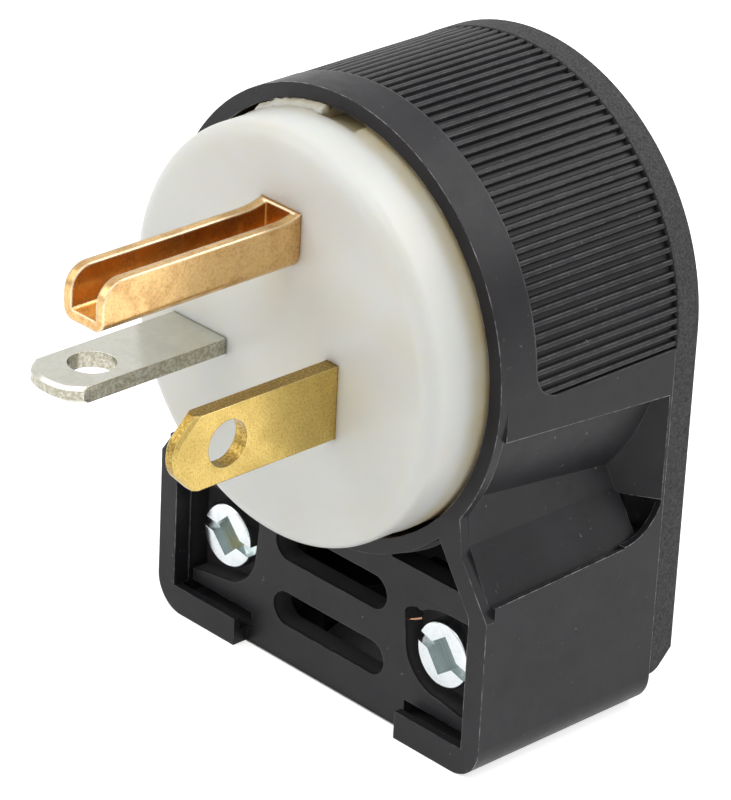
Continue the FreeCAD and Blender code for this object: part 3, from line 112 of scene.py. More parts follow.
# %% Colour and node helpers
def linear(hex_colour):
    """An sRGB hex colour as linear red, green, blue and alpha."""
    channels = [int(hex_colour[place:place + 2], 16) / 255 for place in (1, 3, 5)]
    bright = [c / 12.92 if c <= 0.04045 else ((c + 0.055) / 1.055) ** 2.4 for c in channels]
    return (*bright, 1)


def add_node(tree, kind, inputs=(), **settings):
    """A new node. An input that is a node or a socket is linked, and any other is set."""
    made = tree.nodes.new(kind)
    for name, value in settings.items():
        setattr(made, name, value)
    for socket, value in dict(inputs).items():
        if isinstance(value, bpy.types.Node):
            value = value.outputs[0]
        if isinstance(value, bpy.types.NodeSocket):
            tree.links.new(value, made.inputs[socket])
        else:
            made.inputs[socket].default_value = value
    return made


def new_material(name):
    """A material whose node tree is still empty."""
    material = bpy.data.materials.new(name)
    material.use_nodes = True
    material.node_tree.nodes.clear()
    return material


def finish_material(material, shader, plain_colour):
    """Links the shader to the output. The plain colour is the one of Blender's solid view."""
    add_node(material.node_tree, "ShaderNodeOutputMaterial", {"Surface": shader})
    material.diffuse_color = linear(plain_colour)
    print("finish:", material.name)
    return material


# %% [markdown]
# The background is plain white, and the plug stands on a pale floor. A brighter lamp would whiten
# the background too, but it would bleach the plug. So the ray decides: the camera, and metal that
# mirrors the surroundings, see the sky at a strength of 1, and the light that falls on the plug is
# weaker, which keeps its white face below full white.

# %% World
def seen_directly(tree):
    """1 for a ray from the camera, from a mirror or through glass, and 0 for light that falls on things."""
    path = add_node(tree, "ShaderNodeLightPath")
    seen = path.outputs["Is Camera Ray"]
    for ray in ("Is Glossy Ray", "Is Transmission Ray"):
        seen = add_node(tree, "ShaderNodeMath", {0: seen, 1: path.outputs[ray]}, operation="MAXIMUM")
    return seen


SKY_LIGHT = 0.44
world = bpy.data.worlds.new("Studio")
world.use_nodes = True
bpy.context.scene.world = world
sky = world.node_tree
sky.nodes.clear()
strength = add_node(sky, "ShaderNodeMapRange",
                    {"Value": seen_directly(sky), "To Min": SKY_LIGHT, "To Max": 1.0})
glow = add_node(sky, "ShaderNodeBackground", {"Color": linear("#FFFFFF"), "Strength": strength})
add_node(sky, "ShaderNodeOutputWorld", {"Surface": glow})
print("sky light", SKY_LIGHT)

# %% [markdown]
# The floor glows a little for the camera, so that it comes out as white as the photo's paper, and
# it keeps the plug's soft shadow. It doesn't glow under the plug: the cord hole in the base would
# let that light up into the slots of the front, which are dark on the real object.

# %% Floor
FLOOR_SIZE = 3.0
FLOOR_GLOW = 0.72
PAPER = "#F2F2F2"
HALF_BASE = (("X", 17.5 * MM), ("Y", 9.5 * MM))
floor_shape = bmesh.new()
bmesh.ops.create_grid(floor_shape, x_segments=1, y_segments=1, size=FLOOR_SIZE / 2)
floor_mesh = bpy.data.meshes.new("floor")
floor_shape.to_mesh(floor_mesh)
floor_shape.free()
floor = bpy.data.objects.new("floor", floor_mesh)
bpy.context.scene.collection.objects.link(floor)

paper = new_material("white_paper_floor")
tree = paper.node_tree
floor_place = add_node(tree, "ShaderNodeTexCoord").outputs["Object"]
apart = add_node(tree, "ShaderNodeSeparateXYZ", {0: floor_place})
beside = 0.0
for axis, half in HALF_BASE:
    distance = add_node(tree, "ShaderNodeMath", {0: apart.outputs[axis]}, operation="ABSOLUTE")
    past = add_node(tree, "ShaderNodeMath", {0: distance, 1: half}, operation="GREATER_THAN")
    beside = add_node(tree, "ShaderNodeMath", {0: beside, 1: past}, operation="MAXIMUM")
clear = add_node(tree, "ShaderNodeMath", {0: seen_directly(tree), 1: beside}, operation="MULTIPLY")
strength = add_node(tree, "ShaderNodeMath", {0: clear, 1: FLOOR_GLOW}, operation="MULTIPLY")
shine = add_node(tree, "ShaderNodeEmission", {"Color": linear("#FFFFFF"), "Strength": strength})
matt = add_node(tree, "ShaderNodeBsdfDiffuse", {"Color": linear(PAPER)})
both = add_node(tree, "ShaderNodeAddShader", {0: matt, 1: shine})
finish_material(paper, both, PAPER)
floor_mesh.materials.append(paper)
print("floor", FLOOR_SIZE, "m across")

# %% [markdown]
# Three soft boxes light the plug: one behind and above it, whose mirror image draws the sheen
# along the ribs and the band, and two weak ones, overhead and in front, that fill the white face.

# %% Lights
def soft_box(name, azimuth, height, distance, size, power):
    """A square area light that looks at the plug. Degrees, metres and watts."""
    light = bpy.data.lights.new(name, "AREA")
    light.shape = "SQUARE"
    light.size = size
    light.energy = power
    lamp = bpy.data.objects.new(name, light)
    bpy.context.scene.collection.objects.link(lamp)
    turn, rise = math.radians(azimuth), math.radians(height)
    direction = Vector((
        math.sin(turn) * math.cos(rise),
        -math.cos(turn) * math.cos(rise),
        math.sin(rise),
    ))
    aim = direction.to_track_quat("Z", "Y").to_matrix().to_4x4()
    lamp.matrix_world = Matrix.Translation(CAMERA_TARGET + direction * distance) @ aim
    print(f"{name}: {power} W, {size} m across")


soft_box("behind_above", azimuth=155, height=42, distance=0.60, size=0.45, power=1.7)
soft_box("overhead", azimuth=20, height=74, distance=0.55, size=0.40, power=0.8)
soft_box("front_fill", azimuth=-40, height=35, distance=0.60, size=0.40, power=0.7)

# %% [markdown]
# Wear and dust aren't the same all over the plug. They could be painted on an unwrapped surface,
# but masks that follow from places on the plug need no unwrapping and stay sharp. Each zone is a few
# limits: an axis and the two places along it where the zone's mask is 0 and 1. X is counted from the
# middle to both sides. Where the two places lie close together, the zone ends sharply.

# %% Zones of the body
RIBS = (("Z", 31.00 * MM, 31.01 * MM), ("Y", MOUTH_Y + 3.70 * MM, MOUTH_Y + 3.71 * MM))
MOUTH_RING = (("Y", MOUTH_Y + 1.0 * MM, MOUTH_Y + 0.7 * MM), ("Z", 20.5 * MM, 22.0 * MM))
LOWER_SIDES = (("X", 17.2 * MM, 17.5 * MM), ("Z", 31.01 * MM, 31.00 * MM))
FRONT_POCKETS = (
    ("X", 17.5 * MM, 17.2 * MM),
    ("Y", MOUTH_Y + 1.6 * MM, MOUTH_Y + 2.0 * MM),
    ("Y", 5.4 * MM, 5.0 * MM),
    ("Z", 0.6 * MM, 1.0 * MM),
    ("Z", 17.7 * MM, 17.3 * MM),
)


def zone(tree, place, limits):
    """A mask that is 1 inside the limits and 0 outside them."""
    apart = add_node(tree, "ShaderNodeSeparateXYZ", {0: place})
    off_middle = add_node(tree, "ShaderNodeMath", {0: apart.outputs["X"]}, operation="ABSOLUTE")
    along = {"X": off_middle, "Y": apart.outputs["Y"], "Z": apart.outputs["Z"]}
    mask = 1.0
    for axis, outside, within in limits:
        share = add_node(tree, "ShaderNodeMapRange",
                         {"Value": along[axis], "From Min": outside, "From Max": within})
        mask = add_node(tree, "ShaderNodeMath", {0: mask, 1: share}, operation="MULTIPLY")
    return mask


print("zones: ribs, mouth ring, lower sides, front pockets")

# %% [markdown]
# The nylon's outer edges carry a thin pale line that breaks off in places, and small pale nicks.
# The nicks come from handling. The line comes partly from rubbing and partly is a painted highlight
# where the edges catch the light. It is strongest on the mouth's rim and the outer sides, which hands
# and benches rub most. An edge is where the true surface and a slightly rounded one point apart.
# Inner corners do so too, and the ambient occlusion node tells them from the outer ones.

# %% Rubbed nylon, with a painted highlight on its edges
NICK_MM = 0.75


def highlight_and_wear_places(tree, place, rounded, breaks, highlight_and_wear_amount):
    """Where the nylon is pale: the outer edges, in a broken line that is partly rubbing and partly a painted
    highlight, and small nicks from rubbing.
    """
    true_normal = add_node(tree, "ShaderNodeNewGeometry").outputs["Normal"]
    agree = add_node(tree, "ShaderNodeVectorMath", {0: rounded, 1: true_normal}, operation="DOT_PRODUCT")
    edge = add_node(tree, "ShaderNodeMapRange",
                    {"Value": agree.outputs["Value"], "From Min": 0.995, "From Max": 0.90})
    hollow = add_node(tree, "ShaderNodeAmbientOcclusion", {"Distance": 0.5 * MM}, samples=6, only_local=True)
    outer = add_node(tree, "ShaderNodeMapRange",
                     {"Value": hollow.outputs["AO"], "From Min": 0.80, "From Max": 0.97})
    ring, sides = zone(tree, place, MOUTH_RING), zone(tree, place, LOWER_SIDES)
    reached = add_node(tree, "ShaderNodeMath", {0: ring, 1: sides}, operation="MAXIMUM")
    handled_and_highlit = add_node(tree, "ShaderNodeMapRange", {"Value": reached, "To Min": 0.25, "To Max": 1.0})
    line_shows = add_node(tree, "ShaderNodeMapRange",
                       {"Value": breaks, "From Min": 0.43, "From Max": 0.60,
                        "To Min": 0.15 * highlight_and_wear_amount, "To Max": highlight_and_wear_amount})
    line = edge
    for share in (outer, handled_and_highlit, line_shows):
        line = add_node(tree, "ShaderNodeMath", {0: line, 1: share}, operation="MULTIPLY")
    nicks = add_node(tree, "ShaderNodeTexNoise",
                     {"Vector": place, "Scale": 1 / (NICK_MM * MM), "Detail": 5.0, "Roughness": 0.72})
    nick = add_node(tree, "ShaderNodeMapRange",
                    {"Value": nicks, "From Min": 0.67, "From Max": 0.74, "To Min": 0.0, "To Max": 0.5 * highlight_and_wear_amount})
    return add_node(tree, "ShaderNodeMath", {0: line, 1: nick}, operation="MAXIMUM")


print("rubbed places: edges and nicks")

# %% [markdown]
# The body is black nylon, moulded in a polished tool. That gives the eye a dark satin skin with
# faint flow marks, 7 mm across. The cover's tool was spark eroded, so it is matt, with a grain of
# 0.2 mm. No moulded edge is razor sharp. A real rounding of every edge would cost many thousands of
# faces, so the Bevel node bends the light there instead, and more on the ribs, which came from a worn
# tool. Down in the pockets of the front, where nothing polishes the nylon, a film of dust makes it
# paler. The thin web in the right pocket was never touched.

# %% Black nylon
RIB_ROUNDING_MM = 0.24
BREAK_MM = 1.3


def black_nylon(name, dark, light, highlight_and_wear_colour, dusty, mottle_mm, grain_mm, grain_depth_mm, roughness,
                edge_mm, highlight_and_wear_amount):
    """Dark and light mix in mottles. The pale colour of edges and nicks comes from rubbing, with a painted
    highlight on the edges, and dusty is the colour in the pockets.
    """
    material = new_material(name)
    tree = material.node_tree
    place = add_node(tree, "ShaderNodeTexCoord").outputs["Object"]
    mottle = add_node(tree, "ShaderNodeTexNoise",
                      {"Vector": place, "Scale": 1 / (mottle_mm * MM), "Detail": 3.0, "Roughness": 0.6})
    spread = add_node(tree, "ShaderNodeMapRange", {"Value": mottle, "From Min": 0.36, "From Max": 0.64})
    grain = add_node(tree, "ShaderNodeTexNoise",
                     {"Vector": place, "Scale": 1 / (grain_mm * MM), "Detail": 2.0, "Roughness": 0.6})
    breaks = add_node(tree, "ShaderNodeTexNoise",
                      {"Vector": place, "Scale": 1 / (BREAK_MM * MM), "Detail": 5.0, "Roughness": 0.7})
    radius = add_node(tree, "ShaderNodeMapRange",
                      {"Value": zone(tree, place, RIBS), "To Min": edge_mm * MM,
                       "To Max": max(edge_mm, RIB_ROUNDING_MM) * MM})
    rounded = add_node(tree, "ShaderNodeBevel", {"Radius": radius}, samples=8)
    colour = add_node(tree, "ShaderNodeMix",
                      {"Factor": spread, "A": linear(dark), "B": linear(light)}, data_type="RGBA")
    # The pale edge line is partly a painted highlight and partly rubbing. The nicks come from rubbing.
    for share, added in ((zone(tree, place, FRONT_POCKETS), dusty),
                         (highlight_and_wear_places(tree, place, rounded, breaks, highlight_and_wear_amount), highlight_and_wear_colour)):
        colour = add_node(tree, "ShaderNodeMix",
                          {"Factor": share, "A": colour.outputs["Result"], "B": linear(added)},
                          data_type="RGBA")
    dullness = add_node(tree, "ShaderNodeMapRange",
                        {"Value": breaks, "From Min": 0.3, "From Max": 0.7,
                         "To Min": roughness - 0.06, "To Max": roughness + 0.06})
    bump = add_node(tree, "ShaderNodeBump",
                    {"Height": grain, "Distance": grain_depth_mm * MM, "Normal": rounded})
    shader = add_node(tree, "ShaderNodeBsdfPrincipled",
                      {"Base Color": colour.outputs["Result"], "Roughness": dullness, "IOR": 1.53,
                       "Specular IOR Level": 0.21, "Normal": bump})
    return finish_material(material, shader, dark)


# The pale edge colours of these nylons are partly painted highlight and partly rubbing.
body_nylon = black_nylon(
    "black_nylon_polished", dark="#211F22", light="#2A282B", highlight_and_wear_colour="#C4C2C1", dusty="#454345",
    mottle_mm=7.0, grain_mm=0.22, grain_depth_mm=0.008, roughness=0.42, edge_mm=0.13, highlight_and_wear_amount=0.85)
cover_nylon = black_nylon(
    "black_nylon_spark_grained", dark="#333333", light="#525252", highlight_and_wear_colour="#6E706F", dusty="#333333",
    mottle_mm=0.20, grain_mm=0.17, grain_depth_mm=0.026, roughness=0.72, edge_mm=0.25, highlight_and_wear_amount=0.3)
web_nylon = black_nylon(
    "black_nylon_thin_web", dark="#211F22", light="#2A282B", highlight_and_wear_colour="#2A282B", dusty="#211F22",
    mottle_mm=7.0, grain_mm=0.22, grain_depth_mm=0.008, roughness=0.42, edge_mm=0.02, highlight_and_wear_amount=0.0)
nodes["housing"].data.materials[0] = body_nylon
nodes["rear_cover"].data.materials[0] = cover_nylon
nodes["cord_saddle"].data.materials[0] = body_nylon

# %% [markdown]
# The face is white nylon. It is slightly translucent, so light that enters at one place leaves
# at another, and corners never look black. It has yellowed in faint clouds, and turns tan on the
# side towards the mouth.

# %% White nylon
PATCH_MM = 3
CLOUD_MM = 9
SKIN_GRAIN_MM = 0.6
FACE_ROUNDING_MM = 0.25


def white_nylon(name, clean, yellowed, turning_y, tan_y):
    """Clean, with faint clouds of the yellowed colour, which takes over from turning_y to tan_y."""
    material = new_material(name)
    tree = material.node_tree
    place = add_node(tree, "ShaderNodeTexCoord").outputs["Object"]
    apart = add_node(tree, "ShaderNodeSeparateXYZ", {0: place})
    depth = add_node(tree, "ShaderNodeMapRange",
                     {"Value": apart.outputs["Y"], "From Min": turning_y, "From Max": tan_y},
                     interpolation_type="SMOOTHSTEP")
    patches = add_node(tree, "ShaderNodeTexNoise",
                       {"Vector": place, "Scale": 1 / (PATCH_MM * MM), "Detail": 3.0})
    uneven = add_node(tree, "ShaderNodeMapRange",
                      {"Value": patches, "From Min": 0.3, "From Max": 0.7, "To Min": 0.45, "To Max": 1.0})
    tanned = add_node(tree, "ShaderNodeMath", {0: depth, 1: uneven}, operation="MULTIPLY")
    cloud = add_node(tree, "ShaderNodeTexNoise",
                     {"Vector": place, "Scale": 1 / (CLOUD_MM * MM), "Detail": 2.0, "Distortion": 0.5})
    warmth = add_node(tree, "ShaderNodeMapRange",
                      {"Value": cloud, "From Min": 0.45, "From Max": 0.75, "To Min": 0.0, "To Max": 0.17})
    warm = add_node(tree, "ShaderNodeMath", {0: tanned, 1: warmth}, operation="MAXIMUM")
    colour = add_node(tree, "ShaderNodeMix",
                      {"Factor": warm, "A": linear(clean), "B": linear(yellowed)}, data_type="RGBA")
    grain = add_node(tree, "ShaderNodeTexNoise",
                     {"Vector": place, "Scale": 1 / (SKIN_GRAIN_MM * MM), "Detail": 3.0})
    rounded = add_node(tree, "ShaderNodeBevel", {"Radius": FACE_ROUNDING_MM * MM}, samples=6)
    bump = add_node(tree, "ShaderNodeBump",
                    {"Height": grain, "Distance": 0.008 * MM, "Normal": rounded})
    shader = add_node(tree, "ShaderNodeBsdfPrincipled",
                      {"Base Color": colour.outputs["Result"], "Roughness": 0.36, "IOR": 1.53,
                       "Subsurface Weight": 0.7, "Subsurface Radius": (1.0, 0.85, 0.6),
                       "Subsurface Scale": 2.0 * MM, "Normal": bump})
    return finish_material(material, shader, clean)


face_nylon = white_nylon(
    "white_nylon_translucent", clean="#EBEDE9", yellowed="#E0CB92",
    turning_y=FACE_Y + 3.2 * MM, tan_y=MOUTH_Y + 0.7 * MM)
nodes["carrier_back"].data.materials[0] = face_nylon

# %% [markdown]
# The blades are stamped from sheet metal and tumbled. Brass is yellow and finely speckled where
# fingers have dulled it, nickel plating is grey and a little warm, and the folded ground pin is
# golden brass that darkens in blotches. The stamped sides are rough and darker than the rolled
# faces, and the edges between them get a paler colour, a painted highlight. The screws are steel
# with a zinc plate, passivated blue, which gives a bright cold shine, and a darker colour down in
# their driver's socket is painted shade. The loose strand is bare copper that the air has turned
# brown. A metal shows mostly what it mirrors, so its roughness matters as much as its colour.

# %% Stamped sides, painted edge highlights and painted shade in hollows of a metal
def stamped_sides(tree, normal, rolled, specks):
    """A mask for the torn sides of a sheet: faces that don't look along the rolled direction."""
    facing = add_node(tree, "ShaderNodeVectorMath", {0: normal, 1: rolled}, operation="DOT_PRODUCT")
    facing = add_node(tree, "ShaderNodeMath", {0: facing.outputs["Value"]}, operation="ABSOLUTE")
    side = add_node(tree, "ShaderNodeMapRange", {"Value": facing, "From Min": 0.55, "From Max": 0.3})
    torn = add_node(tree, "ShaderNodeMapRange",
                    {"Value": specks, "From Min": 0.35, "From Max": 0.6, "To Min": 0.25, "To Max": 1.0})
    return add_node(tree, "ShaderNodeMath", {0: side, 1: torn}, operation="MULTIPLY")


def painted_recess_shade(tree, place, deep_from, deep_to):
    """A mask for painted shade, which grows from 0 to 1 between two places along Y, down into a hollow."""
    apart = add_node(tree, "ShaderNodeSeparateXYZ", {0: place})
    return add_node(tree, "ShaderNodeMapRange",
                    {"Value": apart.outputs["Y"], "From Min": deep_from, "From Max": deep_to})


def painted_edge_highlight(tree, normal, rounded):
    """A mask for a painted highlight on the edges, where the true surface and the rounded one point apart."""
    agree = add_node(tree, "ShaderNodeVectorMath", {0: rounded, 1: normal}, operation="DOT_PRODUCT")
    return add_node(tree, "ShaderNodeMapRange",
                    {"Value": agree.outputs["Value"], "From Min": 0.995, "From Max": 0.85,
                     "To Min": 0.0, "To Max": 0.9})


print("masks for metals: stamped sides, recesses, rubbed edges")

# %% [markdown]
# One function makes every metal of the plug, because they differ only in their numbers. Each has
# dirt of two sizes, fine specks and broader blotches, and any of three more colours: cut for the
# stamped sides, a painted shade down in a hollow, and a painted highlight on the edges.

# %% Metals
BLOTCH_MM = 2.2


def worn_metal(name, base, stain, speck_mm, speck_amount, blotch_amount, roughness, edge_mm=0.12,
               rubbed=None, rolled=None, cut=None, recess_shade_colour=None):
    """A metal dulled by handling. Rolled is the direction of its sheet. The shade colour, with two places on
    Y, is painted shade down in a hollow, and the edge colour is a painted highlight.
    """
    material = new_material(name)
    tree = material.node_tree
    place = add_node(tree, "ShaderNodeTexCoord").outputs["Object"]
    normal = add_node(tree, "ShaderNodeNewGeometry").outputs["Normal"]
    rounded = add_node(tree, "ShaderNodeBevel", {"Radius": edge_mm * MM}, samples=6)
    specks = add_node(tree, "ShaderNodeTexNoise",
                      {"Vector": place, "Scale": 1 / (speck_mm * MM), "Detail": 4.0, "Roughness": 0.7})
    speck = add_node(tree, "ShaderNodeMapRange",
                     {"Value": specks, "From Min": 0.45, "From Max": 0.70,
                      "To Min": 0.0, "To Max": speck_amount})
    blotch = add_node(tree, "ShaderNodeTexNoise",
                      {"Vector": place, "Scale": 1 / (BLOTCH_MM * MM), "Detail": 4.0})
    cloud = add_node(tree, "ShaderNodeMapRange",
                     {"Value": blotch, "From Min": 0.46, "From Max": 0.66,
                      "To Min": 0.0, "To Max": blotch_amount})
    dirt = add_node(tree, "ShaderNodeMath", {0: speck, 1: cloud}, operation="ADD", use_clamp=True)
    colour = add_node(tree, "ShaderNodeMix",
                      {"Factor": dirt, "A": linear(base), "B": linear(stain)}, data_type="RGBA")
    layers = []
    if rolled:
        layers.append((stamped_sides(tree, normal, rolled, specks), cut))
    # The colour down in a hollow is painted shade.
    if recess_shade_colour:
        layers.append((painted_recess_shade(tree, place, *recess_shade_colour[1:]), recess_shade_colour[0]))
    # The edge colour is a painted highlight.
    if rubbed:
        layers.append((painted_edge_highlight(tree, normal, rounded), rubbed))
    for share, added in layers:
        colour = add_node(tree, "ShaderNodeMix",
                          {"Factor": share, "A": colour.outputs["Result"], "B": linear(added)},
                          data_type="RGBA")
    dullness = add_node(tree, "ShaderNodeMapRange",
                        {"Value": blotch, "From Min": 0.3, "From Max": 0.7,
                         "To Min": roughness - 0.06, "To Max": roughness + 0.08})
    bump = add_node(tree, "ShaderNodeBump",
                    {"Height": specks, "Distance": 0.004 * MM, "Normal": rounded})
    shader = add_node(tree, "ShaderNodeBsdfPrincipled",
                      {"Base Color": colour.outputs["Result"], "Metallic": 1.0, "Roughness": dullness,
                       "Normal": bump})
    return finish_material(material, shader, base)


SIDEWAYS, UPWARD = (1, 0, 0), (0, 0, 1)
SCREW_TOP_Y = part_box("right_clamp_screw")[0].y
# The edge colours of the blades and the pin are painted highlights.
yellow_brass = worn_metal(
    "yellow_brass_handled", base="#D3B76C", stain="#7E6628", speck_mm=0.20, speck_amount=0.50,
    blotch_amount=0.16, roughness=0.28, rubbed="#E6D08E", rolled=SIDEWAYS, cut="#8A6F30")
nickel = worn_metal(
    "nickel_plate_dulled", base="#D2D1C6", stain="#8F8872", speck_mm=0.30, speck_amount=0.12,
    blotch_amount=0.12, roughness=0.18, rubbed="#EDEBE2", rolled=UPWARD, cut="#9A9582")
golden_brass = worn_metal(
    "golden_brass_folded", base="#E6C085", stain="#99642C", speck_mm=0.26, speck_amount=0.38,
    blotch_amount=0.34, roughness=0.24, edge_mm=0.34, rubbed="#F6E4C4")
bright_screw = worn_metal(
    "zinc_plate_blue_passivated", base="#DCE1E3", stain="#A0ACAE", speck_mm=0.45, speck_amount=0.25,
    blotch_amount=0.15, roughness=0.16, edge_mm=0.08,
    # Painted shade: darker and greener down in the slot and socket, below the head's top face.
    recess_shade_colour=("#AEB9B7", SCREW_TOP_Y + 0.10 * MM, SCREW_TOP_Y + 1.40 * MM))
zinc = worn_metal(
    "zinc_plate_bright", base="#DAE2E3", stain="#8FA3A9", speck_mm=0.50, speck_amount=0.20,
    blotch_amount=0.15, roughness=0.16, edge_mm=0.08)
green_plate = worn_metal(
    "green_zinc_plate", base="#3C7A4E", stain="#2A5A38", speck_mm=0.6, speck_amount=0.3,
    blotch_amount=0.2, roughness=0.30)
copper = worn_metal(
    "copper_strand_tarnished", base="#C4977A", stain="#6A4326", speck_mm=0.20, speck_amount=0.5,
    blotch_amount=0.3, roughness=0.30, edge_mm=0.03)

# %% [markdown]
# The inner pieces don't show, but the part can be opened, so they get the metals that such pieces
# have: brass inserts and clamp plates, and plated steel screws, the green one for the ground.

# %% Finishes of the inner pieces
finishes = {
    yellow_brass: ("hot_clamp_plate", "hot_terminal_screw", "left_cover_insert", "right_cover_insert"),
    nickel: ("neutral_clamp_plate", "neutral_terminal_screw"),
    golden_brass: ("ground_clamp_plate",),
    zinc: ("left_carrier_screw", "right_carrier_screw"),
    green_plate: ("ground_terminal_screw",),
}
for metal, names in finishes.items():
    for name in names:
        nodes[name].data.materials[0] = metal
    print(metal.name, len(names), "inner pieces")

# %% [markdown]
# Some pieces get a finer shape than their CAD solids. They are made in small steps: a closed
# shape from bmesh, then a cut or a join with another, as a maker would mill or weld it. A cut could
# stay a live modifier, but a finished mesh exports as it looks. A piece is finished by marking its
# sharp edges, so that round parts look round and corners stay crisp.

# %% Piece helpers
SHARP_ANGLE = math.radians(32)


def new_piece(name, shape):
    """An object from a bmesh, with its place in its mesh."""
    mesh = bpy.data.meshes.new(name)
    shape.to_mesh(mesh)
    shape.free()
    piece = bpy.data.objects.new(name, mesh)
    bpy.context.scene.collection.objects.link(piece)
    return piece


def copy_of(node):
    """The mesh of a CAD node as a bmesh, with its loose triangles joined."""
    shape = bmesh.new()
    shape.from_mesh(nodes[node].data)
    bmesh.ops.remove_doubles(shape, verts=shape.verts, dist=0.001 * MM)
    return shape


def turned(profile, centre_x, centre_z, steps):
    """A closed turned shape. The profile is (radius, y) pairs from the axis out and back to it."""
    shape = bmesh.new()
    points = [shape.verts.new((centre_x + radius, y, centre_z)) for radius, y in profile]
    line = [shape.edges.new(pair) for pair in zip(points, points[1:])]
    bmesh.ops.spin(shape, geom=points + line, cent=(centre_x, 0, centre_z), axis=(0, 1, 0),
                   angle=2 * math.pi, steps=steps, use_merge=True)
    bmesh.ops.remove_doubles(shape, verts=shape.verts, dist=0.001 * MM)
    bmesh.ops.recalc_face_normals(shape, faces=shape.faces)
    return shape


def front_rim(shape, y, centre_x, centre_z, least_radius):
    """The edges round a turned shape's front, at the given y and further out than the least radius."""
    def on_rim(vert):
        out = math.hypot(vert.co.x - centre_x, vert.co.z - centre_z)
        return abs(vert.co.y - y) < 0.0001 * MM and out > least_radius
    return [edge for edge in shape.edges if all(on_rim(vert) for vert in edge.verts)]


def block(size, matrix):
    """A box of the given size, as a bmesh, moved by a matrix."""
    shape = bmesh.new()
    bmesh.ops.create_cube(shape, size=1, matrix=matrix @ Matrix.Diagonal((*size, 1)))
    return shape


def combine(piece, tool_shape, operation):
    """Cuts the tool from the piece, joins them, or keeps what both fill."""
    tool = new_piece("tool", tool_shape)
    step = piece.modifiers.new("combine", "BOOLEAN")
    step.operation = operation
    step.solver = "EXACT"
    step.object = tool
    bpy.context.view_layer.update()
    evaluated = piece.evaluated_get(bpy.context.evaluated_depsgraph_get())
    result = bpy.data.meshes.new_from_object(evaluated)
    piece.modifiers.clear()
    old = piece.data
    piece.data = result
    bpy.data.meshes.remove(old)
    tool_mesh = tool.data
    bpy.data.objects.remove(tool)
    bpy.data.meshes.remove(tool_mesh)


def finish_piece(piece, material, node=None):
    """Marks the sharp edges, gives the finish, and rides the piece on the plug."""
    shape = bmesh.new()
    shape.from_mesh(piece.data)
    bmesh.ops.remove_doubles(shape, verts=shape.verts, dist=0.0005 * MM)
    for face in shape.faces:
        face.smooth = True
        face.material_index = 0
    for edge in shape.edges:
        edge.smooth = edge.calc_face_angle(0) < SHARP_ANGLE
    shape.to_mesh(piece.data)
    loose = sum(1 for edge in shape.edges if len(edge.link_faces) != 2)
    shape.free()
    piece.data.materials.clear()
    piece.data.materials.append(material)
    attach(piece, "root")
    if node:
        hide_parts(node)
    print(f"{piece.name}: {len(piece.data.polygons)} faces, {loose} open edges")


# %% [markdown]
# The white face is turned: a disc with a softly rounded front edge that swells a little before
# it enters the mouth. The CAD disc has the right slots but a plain broken edge, and its index
# notch shows too far forward. So a copy of it is filled at the front of the notch, and then kept
# only inside a turned shape with the round edge. That shape's front lies a hair behind the CAD's,
# so that the cut leaves one clean face.

# %% White face
FACE_EDGE_RADIUS = 1.4 * MM
NOTCH_WIDTH = 5.6 * MM
NOTCH_HEIGHT = 2.4 * MM
NOTCH_CENTRE = Vector((0.7 * MM, 0, AXIS_Z + 17.2 * MM))
NOTCH_START_Y = FACE_Y + 0.3 * MM
NOTCH_FRONT_Y = MOUTH_Y - 0.85 * MM
DISC_RADIUS = 17.60 * MM
SWELL_RADIUS = 17.73 * MM
SWELL_START_Y = FACE_Y + 4.75 * MM
SWELL_END_Y = FACE_Y + 5.35 * MM
FACE_STEPS = 160
face = new_piece("white_face", copy_of("contact_face"))
filler_size = Vector((NOTCH_WIDTH, NOTCH_FRONT_Y - NOTCH_START_Y, NOTCH_HEIGHT))
filler_centre = NOTCH_CENTRE + Vector((0, (NOTCH_START_Y + NOTCH_FRONT_Y) / 2, 0))
combine(face, block(filler_size, Matrix.Translation(filler_centre)), "UNION")
back_y = face_high.y + 1 * MM
front_y = FACE_Y + 0.01 * MM
envelope = turned([
    (0, front_y),
    (DISC_RADIUS, front_y),
    (DISC_RADIUS, SWELL_START_Y),
    (SWELL_RADIUS, SWELL_END_Y),
    (SWELL_RADIUS, back_y),
    (0, back_y),
], 0, AXIS_Z, FACE_STEPS)
rim = front_rim(envelope, front_y, 0, AXIS_Z, 0.9 * DISC_RADIUS)
bmesh.ops.bevel(envelope, geom=rim, offset=FACE_EDGE_RADIUS, offset_type="OFFSET", affect="EDGES",
                segments=8, profile=0.5, material=-1)
combine(face, envelope, "INTERSECT")
finish_piece(face, face_nylon, "contact_face")

# %% [markdown]
# At the top of the mouth the moulding left flash: a thin ragged skin of yellowed nylon between
# the disc and the black ring. It is a bent strip, spun along the rim, whose points are then
# pushed about by a noise, so that its edge is as uneven as torn plastic. The strip's section is
# five points in millimetres, each a distance from the axis and one behind the mouth.

# %% Flash at the mouth
FLASH_FROM, FLASH_TO = math.radians(-34), math.radians(-4)
FLASH_STEPS = 44
FLASH_ROOT = 17.4 * MM
FLASH_SECTION = ((17.4, 0.3), (17.55, -0.75), (17.95, -0.55), (18.22, -0.12), (18.0, 0.3))
RAGGED_OUT, RAGGED_ALONG = 0.17 * MM, 0.16 * MM
COARSE_RAG, MIDDLE_RAG, FINE_RAG = 0.9 * MM, 0.6 * MM, 0.3 * MM
flash_shape = bmesh.new()
start = Matrix.Rotation(FLASH_FROM, 3, "Y")
centre = Vector((0, MOUTH_Y, AXIS_Z))
section = [flash_shape.verts.new(centre + start @ Vector((0, y * MM, radius * MM)))
           for radius, y in FLASH_SECTION]
flash_shape.faces.new(section)
bmesh.ops.spin(flash_shape, geom=flash_shape.faces[:] + flash_shape.edges[:] + flash_shape.verts[:],
               cent=(0, 0, AXIS_Z), axis=(0, 1, 0), angle=FLASH_TO - FLASH_FROM, steps=FLASH_STEPS)
